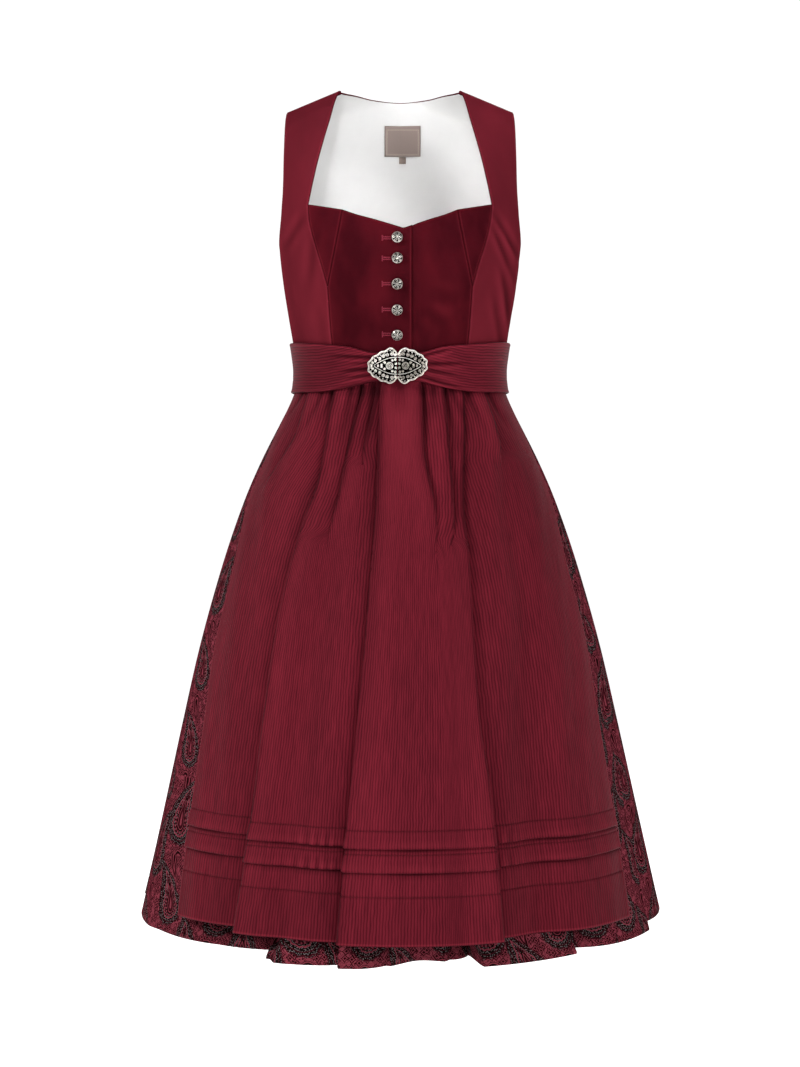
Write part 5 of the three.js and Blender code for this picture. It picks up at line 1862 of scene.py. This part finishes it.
    def skirt_part(self) -> Sheet:
        """The apron itself, with its threads along its folds."""
        marks = [mark for tuck in self.tucks for mark in tuck]
        levels = fine_levels(APRON_HEM, WAIST_SEAM, 6.5, *marks, self.hem_sewn)
        edges = apron_edge_angle(levels)
        rows = []
        for edge, level in zip(edges, levels):
            lips, spread = lips_of(APRON_FOLDS, level)
            width = 2 * edge * DEGREE * float(SKIRT.radius(np.array(level)))
            side = paced(width, 4)[:len(ROLL_STEPS)] * 2 * edge
            inner = gathered_columns(-edge + side[-1], edge - side[-1], lips, spread, self.columns)
            rows.append(np.concatenate([side[:-1] - edge, inner, (edge - side[:-1])[::-1]]))
        angles = np.array(rows)
        heights = np.broadcast_to(levels[:, None], angles.shape)
        grid = apron_surface(angles, heights)
        grain = run_of_grain(APRON_FOLDS, angles, levels, grid)
        gathered = self.gathered(angles, heights)
        relief = self.raised(angles, heights) + self.rumpled(angles, heights) - 1.6 * gathered
        # Painted light: painted highlights and painted shade along the folds and tucks, painted shade in the
        # short gathers and under the band.
        shade = SKIRT.gleam(APRON_FOLDS, angles, heights) + self.tuck_shade(angles, heights)
        shade = shade - 0.8 * gathered - 0.5 * hump(heights - self.band_shade, 7.0)
        sheet = Sheet("apron_silk", apron_surface, APRON_CLOTH, lift=LAYER_GAP + APRON_CLOTH, relief=relief,
                      roll=0.6, painted_shading=shade, rolled_top=False)
        sheet.build(np.stack([angles, heights], -1), self.wardrobe.silk, grain)
        sheet.declare("ribbed_silk", "gathered", ["apron_band_right", "apron_band_left"], "apron")
        self.levels = levels
        return sheet

    def band_surface(self, angle: Array, level: Array) -> Array:
        """The band's form, which follows the bodice above the waist seam and the skirt below it."""
        above = BODICE.point(angle, np.maximum(level, WAIST_SEAM))
        read = SKIRT.sections.read
        sizes = (read("half", level), read("front", level), read("back", level))
        below = section_point(sizes, angle, BODICE.square, level)
        return np.where((level >= WAIST_SEAM)[..., None], above, below)

    def band(self, side: Side) -> None:
        """One half of the gathered band, from the clasp to the middle of the back."""
        front = np.linspace(0.2, 66, 120)
        angles = side.value * np.concatenate([front, np.linspace(66.9, 180, 110)])
        shares = paced(64.0, 34)
        x = np.abs(self.band_surface(angles, np.full(angles.shape, WAIST_SEAM))[..., 0])
        sooner = self.left_sooner if side is Side.LEFT else 0
        x = np.where(np.abs(angles) < 90, x + sooner, self.full_x)
        bottom, top = (self.band_edges.read(name, -x) for name in ("bottom", "top"))
        level = mixed(bottom[None, :], top[None, :], shares[:, None])
        turn = np.broadcast_to(angles[None, :], level.shape)
        behind = eased(np.abs(turn), 86, 96)
        lift = mixed(2 * LAYER_GAP + APRON_CLOTH + BAND_CLOTH, LAYER_GAP + BAND_CLOTH, behind)
        points = self.band_surface(turn, level)
        relief = -1.25 * sum(crease.press(points) for crease in self.creases)
        relief = relief + 0.25 * np.sin(level / 3.1 + 0.4 * np.sin(turn / 7)) * hump(points[..., 0], 90)
        # Painted light on the band: painted highlights on the creases' banks and painted shade in their
        # hollows, a little darker all over, and painted shade on the wearer's right half in front.
        painted_shading = 0.9 * sum(crease.painted_shading(points) for crease in self.creases) - 0.1
        if side is Side.RIGHT:
            painted_shading = painted_shading - 0.3 * (1 - eased(np.abs(turn), 50, 100))
        name = f"apron_band_{side.word}"
        sheet = Sheet(f"{name}_silk", self.band_surface, BAND_CLOTH, lift=lift, relief=relief, painted_shading=painted_shading,
                      turned=True)
        sheet.build(np.stack([turn, level], -1), self.wardrobe.silk)
        sheet.declare("ribbed_silk", "gathered", ["back_centre", "side_front_left"], name)

    def stitches(self, sheet: Sheet, tailor: "Tailor") -> None:
        """Rows of machine stitches along the tucks and the hem."""
        seats = []
        for sewn in (*[tuck[0] for tuck in self.tucks], self.hem_sewn):
            row = int(np.argmin(np.abs(self.levels - sewn)))
            seats += tailor.along(sheet, row, pitch=4.2, lift=0.2)
        tailor.sew("apron_stitches", seats, self.wardrobe.thread)

    def make(self) -> None:
        """Makes the apron, its band and its stitching."""
        sheet = self.skirt_part()
        for side in Side:
            self.band(side)
        self.stitches(sheet, Tailor())


# ------------------------------------------------------------------ sewing


def clear_selection() -> None:
    """Deselects everything, so that an operator acts on nothing unforeseen."""
    if bpy.context.object and bpy.context.object.mode != "OBJECT":
        bpy.ops.object.mode_set(mode="OBJECT")
    bpy.ops.object.select_all(action="DESELECT")


def joined(name: str, parts: Sequence[bpy.types.Object]) -> bpy.types.Object:
    """Joins objects into one.

    Args:
        name: The new object's name.
        parts: The objects, of which the first keeps its materials' order.

    Returns:
        The joined object.
    """
    clear_selection()
    for part in parts:
        part.select_set(True)
    bpy.context.view_layer.objects.active = parts[0]
    if len(parts) > 1:
        bpy.ops.object.join()
    whole = bpy.context.view_layer.objects.active
    whole.name = name
    return whole


def spread_copies(name: str, model: bpy.types.Object, seats: Sequence[Matrix]) -> bpy.types.Object:
    """One object with a copy of a small model at each place.

    Args:
        name: The object's name.
        model: The small model, at the origin, which is removed.
        seats: The places.

    Returns:
        The object.
    """
    points = np.array([vertex.co for vertex in model.data.vertices])
    faces = [list(face.vertices) for face in model.data.polygons]
    spots, drawn = [], []
    for i, seat in enumerate(seats):
        turn, move = np.array(seat.to_3x3()), np.array(seat.translation)
        spots.append(points @ turn.T + move)
        drawn += [[corner + i * len(points) for corner in face] for face in faces]
    mesh = bpy.data.meshes.new(name)
    mesh.from_pydata(np.concatenate(spots), [], drawn)
    mesh.shade_smooth()
    bpy.data.objects.remove(model)
    return placed(name, mesh)


@dataclass
class Tailor:
    """Thread stitches, each a small rounded bar."""

    length: float = 2.6
    thickness: float = 0.42

    def stitch(self) -> bpy.types.Object:
        """One stitch, along x."""
        clear_selection()
        bpy.ops.mesh.primitive_uv_sphere_add(segments=6, ring_count=5, radius=0.5 * MM)
        model = bpy.context.object
        bpy.ops.object.mode_set(mode="EDIT")
        bpy.ops.transform.rotate(value=math.pi / 2, orient_axis="Y", center_override=(0, 0, 0))
        size = (self.length, self.thickness, self.thickness)
        bpy.ops.transform.resize(value=size, center_override=(0, 0, 0))
        bpy.ops.object.mode_set(mode="OBJECT")
        return model

    def along(self, sheet: Sheet, row: int, pitch: float, lift: float) -> list[Matrix]:
        """Places along a row of a sheet.

        Args:
            sheet: The cloth.
            row: The row's number.
            pitch: The distance between stitches.
            lift: How far they stand off the cloth.

        Returns:
            The places.
        """
        line = sheet.outer[row]
        steps = np.concatenate([[0], np.cumsum(np.linalg.norm(np.diff(line, axis=0), axis=-1))])
        seats = []
        for distance in np.arange(pitch, steps[-1] - pitch, pitch):
            here, ahead, behind = (
                np.array([np.interp(distance + step, steps, line[:, i]) for i in range(3)])
                for step in (0, 1, -1)
            )
            normal = np.array([np.interp(distance, steps, sheet.normals[row, :, i]) for i in range(3)])
            across = ahead - behind
            seats.append(seat_matrix(here, across, np.cross(normal, across), lift))
        return seats

    def sew(self, name: str, seats: Sequence[Matrix], thread: bpy.types.Material) -> bpy.types.Object:
        """Sews a stitch at every place, as one piece."""
        obj = spread_copies(name, self.stitch(), seats)
        obj.data.materials.append(thread)
        return install(obj, None)


@dataclass
class Buttonholes:
    """Worked buttonholes beside the buttons, with a bar at the outer end."""

    wardrobe: Wardrobe
    start_x: float = -11.0
    stop_x: float = -21.5
    slit: float = 1.5
    bar: float = 6.4

    def make(self) -> None:
        """Works the five buttonholes."""
        tailor = Tailor(length=2.0, thickness=0.55)
        seats = []
        for level in BUTTON_LEVELS:
            for x in np.arange(self.stop_x + 1.2, self.start_x, 0.95):
                for edge in (-1, 1):
                    seat = BODICE.seat(float(x), level + edge * self.slit * 0.8, 0.25)
                    lean = math.pi / 2 + 0.25 * math.sin(2.7 * x + level + edge)
                    seats.append(seat @ Matrix.Rotation(lean, 4, "Z"))
            for z in np.arange(-self.bar / 2, self.bar / 2 + 0.1, 0.9):
                seat = BODICE.seat(self.stop_x, level + float(z), 0.35)
                seats.append(seat @ Matrix.Rotation(0.2 * math.sin(3 * z + level), 4, "Z"))
        tailor.sew("buttonhole_stitches", seats, self.wardrobe.bright_thread)


# ------------------------------------------------------------------ silver


@dataclass
class Silversmith:
    """Wires, rings, grains and plates, modelled flat and then bent over a dome."""

    wardrobe: Wardrobe
    metal: bpy.types.Material | None = None

    def wire(self, points: Sequence[tuple[float, float]], radius: float, closed: bool = False,
             height: float = 0.0) -> bpy.types.Object:
        """A round wire along points in the flat.

        Args:
            points: Places in millimetres.
            radius: The wire's radius.
            closed: Whether its ends meet.
            height: The height of its middle.

        Returns:
            The wire as a mesh.
        """
        clear_selection()
        bpy.ops.curve.primitive_nurbs_path_add()
        obj = bpy.context.object
        curve = obj.data
        curve.splines.clear()
        spline = curve.splines.new("NURBS")
        spline.points.add(len(points) - 1)
        for point, (x, y) in zip(spline.points, points):
            point.co = (x * MM, y * MM, height * MM, 1)
        spline.use_cyclic_u = closed
        spline.use_endpoint_u = not closed
        spline.order_u = 3
        spline.resolution_u = 3
        curve.bevel_depth = radius * MM
        curve.bevel_resolution = 1
        curve.use_fill_caps = not closed
        bpy.ops.object.convert(target="MESH")
        obj = bpy.context.object
        obj.data.materials.clear()
        obj.data.materials.append(self.metal or self.wardrobe.silver)
        return obj

    def grain(self, x: float, y: float, radius: float, height: float) -> bpy.types.Object:
        """A small ball at a place in the flat."""
        clear_selection()
        place = (x * MM, y * MM, height * MM)
        bpy.ops.mesh.primitive_uv_sphere_add(segments=8, ring_count=6, radius=radius * MM, location=place)
        bpy.ops.object.transform_apply(location=True, rotation=False, scale=False)
        obj = bpy.context.object
        obj.data.materials.append(self.metal or self.wardrobe.silver)
        return obj

    def plate(self, outline: Sequence[tuple[float, float]], thickness: float) -> bpy.types.Object:
        """A tarnished plate with bevelled edges, its back at height 0.

        Args:
            outline: Its corners in order.
            thickness: Its thickness.

        Returns:
            The plate.
        """
        clear_selection()
        bpy.ops.mesh.primitive_circle_add(vertices=len(outline), radius=MM, fill_type="NGON")
        obj = bpy.context.object
        for vertex, (x, y) in zip(obj.data.vertices, outline):
            vertex.co = (x * MM, y * MM, 0)
        bpy.ops.object.mode_set(mode="EDIT")
        bpy.ops.mesh.select_all(action="SELECT")
        bpy.ops.mesh.inset(thickness=1.5 * MM)
        bpy.ops.mesh.poke()
        bpy.ops.mesh.select_all(action="SELECT")
        bpy.ops.mesh.subdivide(number_cuts=2)
        bpy.ops.mesh.extrude_region_move(TRANSFORM_OT_translate={"value": (0, 0, thickness * MM)})
        bpy.ops.mesh.select_all(action="SELECT")
        bpy.ops.mesh.normals_make_consistent(inside=False)
        bpy.ops.object.mode_set(mode="OBJECT")
        obj.data.materials.append(self.wardrobe.tarnished)
        return obj

    def finished(self, name: str, parts: Sequence[bpy.types.Object],
                 dome: Callable[[Array, Array], Array]) -> bpy.types.Object:
        """Joins the parts and bends them over a dome.

        Args:
            name: The piece's name.
            parts: Wires, grains and plates in the flat.
            dome: The dome's height in millimetres, for arrays of x and y.

        Returns:
            The piece, still at the origin.
        """
        obj = joined(name, parts)
        points = np.array([vertex.co for vertex in obj.data.vertices])
        points[:, 2] += dome(points[:, 0] / MM, points[:, 1] / MM) * MM
        obj.data.vertices.foreach_set("co", points.astype(np.float32).ravel())
        obj.data.update()
        clear_selection()
        obj.select_set(True)
        bpy.context.view_layer.objects.active = obj
        bpy.ops.object.shade_smooth_by_angle(angle=math.radians(40))
        return obj


def ring_points(x: float, y: float, radius: float, count: int = 8) -> list[tuple[float, float]]:
    """Places round a circle."""
    turns = [2 * math.pi * i / count for i in range(count)]
    return [(x + radius * math.cos(turn), y + radius * math.sin(turn)) for turn in turns]


def scroll_points(x: float, y: float, size: float, heading: float, hand: int,
                  turns: float = 1.4) -> list[tuple[float, float]]:
    """Places along a scroll that curls up into its middle.

    Args:
        x: Where its middle is.
        y: Where its middle is.
        size: Its outer radius.
        heading: The direction of its open end, in radians.
        hand: 1 or -1, the way that it curls.
        turns: How often it turns.

    Returns:
        Places from the open end to the middle.
    """
    count = 13
    places = []
    for i in range(count):
        share = i / (count - 1)
        radius = size * (1 - 0.8 * share)
        turn = heading + hand * share * turns * 2 * math.pi
        places.append((x + radius * math.cos(turn), y + radius * math.sin(turn)))
    return places


@dataclass
class Clasp:
    """The apron's clasp: two scalloped filigree halves that meet in the middle."""

    smith: Silversmith
    edge: tuple = (
        (0.3, 13.8), (3.9, 19.4), (9.6, 22.1), (14.1, 19.9), (20.4, 19.0), (25.2, 15.2), (30.4, 13.2),
        (32.8, 9.4), (36.6, 6.4), (35.6, 1.5), (36.6, -3.6), (32.8, -7.4), (30.4, -11.4), (25.2, -13.4),
        (20.4, -17.4), (15.0, -18.4), (10.2, -21.8), (6.6, -21.8), (3.3, -19.2), (0.3, -15.0),
    )
    frame: tuple = ((0.3, 10.4), (6, 10.2), (13, 8.6), (20, 5.6), (25.5, 2.6), (29.6, 0))
    scrolls: tuple = (
        (2.6, 13.2, 1.9), (7.0, 14.6, 2.6), (12.4, 13.6, 2.3), (17.2, 11.4, 2.4), (22.0, 8.8, 2.2),
        (26.6, 6.2, 2.0), (30.6, 3.4, 1.7), (31.6, -0.4, 1.3), (2.4, 7.4, 1.7), (2.2, 2.6, 1.6),
        (6.0, 6.6, 1.5), (15.6, 3.6, 1.7), (19.6, 1.4, 1.5), (23.6, 0.6, 1.0),
    )
    middle: float = 15.0
    rosette: float = 9.6
    plate: float = 1.1

    def outline(self, shrink: float) -> list[tuple[float, float]]:
        """The scalloped outline from the top of the joint round to its bottom, drawn in by shrink."""
        places = []
        for x, y in smooth_line(self.edge, 3):
            keep = 1 - shrink / math.hypot(x - self.middle, y)
            inner = self.middle + (x - self.middle) * keep
            places.append((max(inner - shrink * (1 - min(x / 6, 1)), 0.25), y * keep))
        return places

    def relief(self) -> list[bpy.types.Object]:
        """The wires and grains on one half."""
        wire, grain = self.smith.wire, self.smith.grain
        height = self.plate + 0.5
        parts = self.filling(height)
        self.smith.metal = None
        parts.append(wire(self.outline(0.5), 0.7, False, height + 0.2))
        parts.append(wire(self.outline(1.9), 0.28, False, height))
        parts.append(wire([*self.frame, *[(x, -y) for x, y in self.frame[-2::-1]]], 0.45, False, height))
        for x, y in self.outline(3.6)[2:-1:3]:
            parts.append(grain(max(x, 1.2), y, 0.75, height))
        return parts

    def filling(self, height: float) -> list[bpy.types.Object]:
        """The scrolls between rim and frame, and the rosette and leaves inside the frame."""
        wire, grain = self.smith.wire, self.smith.grain
        parts = []
        for sign in (-1, 1):
            for i, (x, y, size) in enumerate(self.scrolls):
                points = scroll_points(x, y, size, 2.4 - 0.16 * x, 1 if i % 2 else -1)
                parts.append(wire([(px, sign * py) for px, py in points], 0.48, False, height))
                parts.append(grain(x, sign * y, 0.6, height + 0.1))
        parts.append(wire(ring_points(self.rosette, 0, 4.3, 12), 0.4, True, height))
        parts.append(grain(self.rosette, 0, 1.1, height + 0.4))
        for k in range(7):
            turn = 2 * math.pi * k / 7
            x, y = self.rosette + 2.7 * math.cos(turn), 2.7 * math.sin(turn)
            parts.append(wire(ring_points(x, y, 0.95, 6), 0.3, True, height + 0.1))
        return parts

    def make(self) -> None:
        """Makes both halves and lays them on the band."""
        for side in Side:
            name = f"clasp_{side.word}"
            low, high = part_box(name)
            # Painted shade: the wearer's left half has its filling in the darker copy of the silver; its rim
            # and grains stay bright.
            self.smith.metal = self.smith.wardrobe.silver_in_shade if side is Side.LEFT else None
            parts = [self.smith.plate(self.outline(0.2), self.plate), *self.relief()]

            def dome(x: Array, y: Array) -> Array:
                """A shallow dome over each half."""
                across = (x - self.middle) / 24
                return 1.5 * np.clip(1 - across**2 - (y / 25) ** 2, 0, 1)

            obj = self.smith.finished(f"filigree_{name}", parts, dome)
            joint = low.x if side is Side.LEFT else high.x
            half_turn = 0.0 if side is Side.LEFT else math.pi
            turn = Matrix.Rotation(math.pi / 2, 4, "X") @ Matrix.Rotation(half_turn, 4, "Z")
            obj.data.transform(Matrix.Translation((joint, high.y, (low.z + high.z) / 2)) @ turn)
            install(obj, "old_silver", name)


@dataclass
class ButtonRow:
    """Five domed filigree buttons down the closing edge."""

    smith: Silversmith
    radius: float = 6.8
    rise: float = 3.6
    shank: float = 1.6
    lift: float = 0.5
    petals: int = 6

    def model(self) -> bpy.types.Object:
        """One button, its back at height 0 and facing up."""
        smith = self.smith
        rim = [(self.radius - 0.5, turn * 2 * math.pi / 24) for turn in range(24)]
        outline = [(r * math.cos(turn), r * math.sin(turn)) for r, turn in rim]
        plate = smith.plate(outline, 0.8)
        top = 0.8
        parts = [plate, smith.wire(ring_points(0, 0, self.radius - 0.45, 18), 0.42, True, top),
                 smith.wire(ring_points(0, 0, 1.9, 8), 0.28, True, top + 0.1),
                 smith.grain(0, 0, 0.9, top + 0.3)]
        for k in range(self.petals):
            turn = 2 * math.pi * k / self.petals
            across, along = math.cos(turn), math.sin(turn)
            petal = [(2.5, 0), (3.6, 0.95), (4.9, 1.15), (5.6, 0), (4.9, -1.15), (3.6, -0.95)]
            petal = [(r * across - s * along, r * along + s * across) for r, s in petal]
            parts.append(smith.wire(petal, 0.3, True, top + 0.1))

        def dome(x: Array, y: Array) -> Array:
            """The button's dome."""
            from_middle = np.minimum(np.hypot(x, y) / (self.radius + 0.5), 1)
            return self.shank + self.rise * np.sqrt(1 - from_middle**2)

        return smith.finished("button_model", parts, dome)

    def stem(self) -> bpy.types.Object:
        """The short shank behind a button, a waisted post."""
        clear_selection()
        depth = 2.6 * MM
        bpy.ops.mesh.primitive_cylinder_add(vertices=12, radius=1.6 * MM, depth=depth,
                                            location=(0, 0, depth / 2))
        obj = bpy.context.object
        bpy.ops.object.transform_apply(location=True, rotation=False, scale=False)
        bpy.ops.object.mode_set(mode="EDIT")
        bpy.ops.mesh.select_all(action="SELECT")
        bpy.ops.mesh.bevel(offset=0.25 * MM, segments=2)
        bpy.ops.object.mode_set(mode="OBJECT")
        obj.data.materials.append(self.smith.wardrobe.tarnished)
        return obj

    def make(self) -> None:
        """Makes the button once and sews on five copies, each with its own mesh and turn."""
        model = joined("button_model", [self.model(), self.stem()])
        for i, level in enumerate(BUTTON_LEVELS):
            obj = placed(f"filigree_button_{i + 1}", model.data.copy())
            seat = BODICE.seat(BUTTON_X, level, self.lift)
            obj.data.transform(seat @ Matrix.Rotation(0.35 * i, 4, "Z"))
            install(obj, "old_silver", f"button_{i + 1}")
        bpy.data.objects.remove(model)


# ------------------------------------------------------------------ the studio


@dataclass
class Studio:
    """A plain pale floor, soft lights and the camera."""

    floor_height: float = -1.4
    camera_place: tuple = (0.0, -2.3, -0.436)
    camera_pitch: float = 87.1
    lens: float = 60.0
    lamps: tuple = (
        ("key", (-2.3, -1.8, 1.1), 0.8, 70.0, 180.0, -0.55),
        ("fill", (1.4, -2.2, 0.4), 1.6, 38.0, 180.0, -0.55),
        ("neck", (-0.15, -2.4, 0.15), 0.3, 0.22, 14.0, -0.05),
        ("rim", (0.6, 2.2, 1.3), 1.6, 26.0, 180.0, -0.55),
    )

    def make(self) -> None:
        """Makes the floor, lights and camera."""
        scene = bpy.context.scene
        scene.view_settings.view_transform = "Standard"
        clear_selection()
        bpy.ops.mesh.primitive_plane_add(size=40, location=(0, 0, self.floor_height))
        floor = bpy.context.object
        floor.name = "floor"
        floor.data.materials.append(PaleFloor("pale_floor").make())
        floor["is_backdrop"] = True
        world = bpy.data.worlds.new("soft_white")
        world.use_nodes = True
        tree = world.node_tree
        rays = add_node(tree, "ShaderNodeLightPath").outputs
        strength = work_out(
            tree,
            {"seen": rays["Is Camera Ray"], "glossy": rays["Is Glossy Ray"]},
            ("lit", "MULTIPLY_ADD", "glossy", 0.25, 0.34),
            ("strength", "MULTIPLY_ADD", "seen", 0.71, "lit"),
        )["strength"]
        tree.nodes["Background"].inputs[0].default_value = (1, 1, 1, 1)
        tree.links.new(strength, tree.nodes["Background"].inputs[1])
        scene.world = world
        for name, place, size, power, spread, aim_height in self.lamps:
            lamp = bpy.data.lights.new(name, "AREA")
            lamp.size, lamp.energy, lamp.spread = size, power, math.radians(spread)
            obj = placed(name, lamp)
            obj.location = place
            aim = Vector((0, 0, aim_height)) - Vector(place)
            obj.rotation_euler = aim.to_track_quat("-Z", "Y").to_euler()
        camera = placed("camera", bpy.data.cameras.new("camera"))
        camera.data.lens = self.lens
        camera.location = self.camera_place
        camera.rotation_euler = (math.radians(self.camera_pitch), 0, 0)
        scene.camera = camera


def write_sizes() -> None:
    """Works out the frame's box and the visual model's box."""
    boxes = {"cad": CAD_BOX, "visual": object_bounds()}
    plain = {name: [[float(v) for v in corner] for corner in box] for name, box in boxes.items()}


def main() -> None:
    """Builds the garment, sub-assembly by sub-assembly, and the studio round it."""
    logging.basicConfig(level=logging.INFO, format="%(message)s")
    Studio().make()
    wardrobe = Wardrobe()
    bodice = Bodice(wardrobe)
    bodice.make()
    BackLining(wardrobe, bodice).make()
    Skirt(wardrobe).make()
    Apron(wardrobe).make()
    smith = Silversmith(wardrobe)
    Clasp(smith).make()
    ButtonRow(smith).make()
    Buttonholes(wardrobe).make()
    write_sizes()


if __name__ == "__main__":
    main()
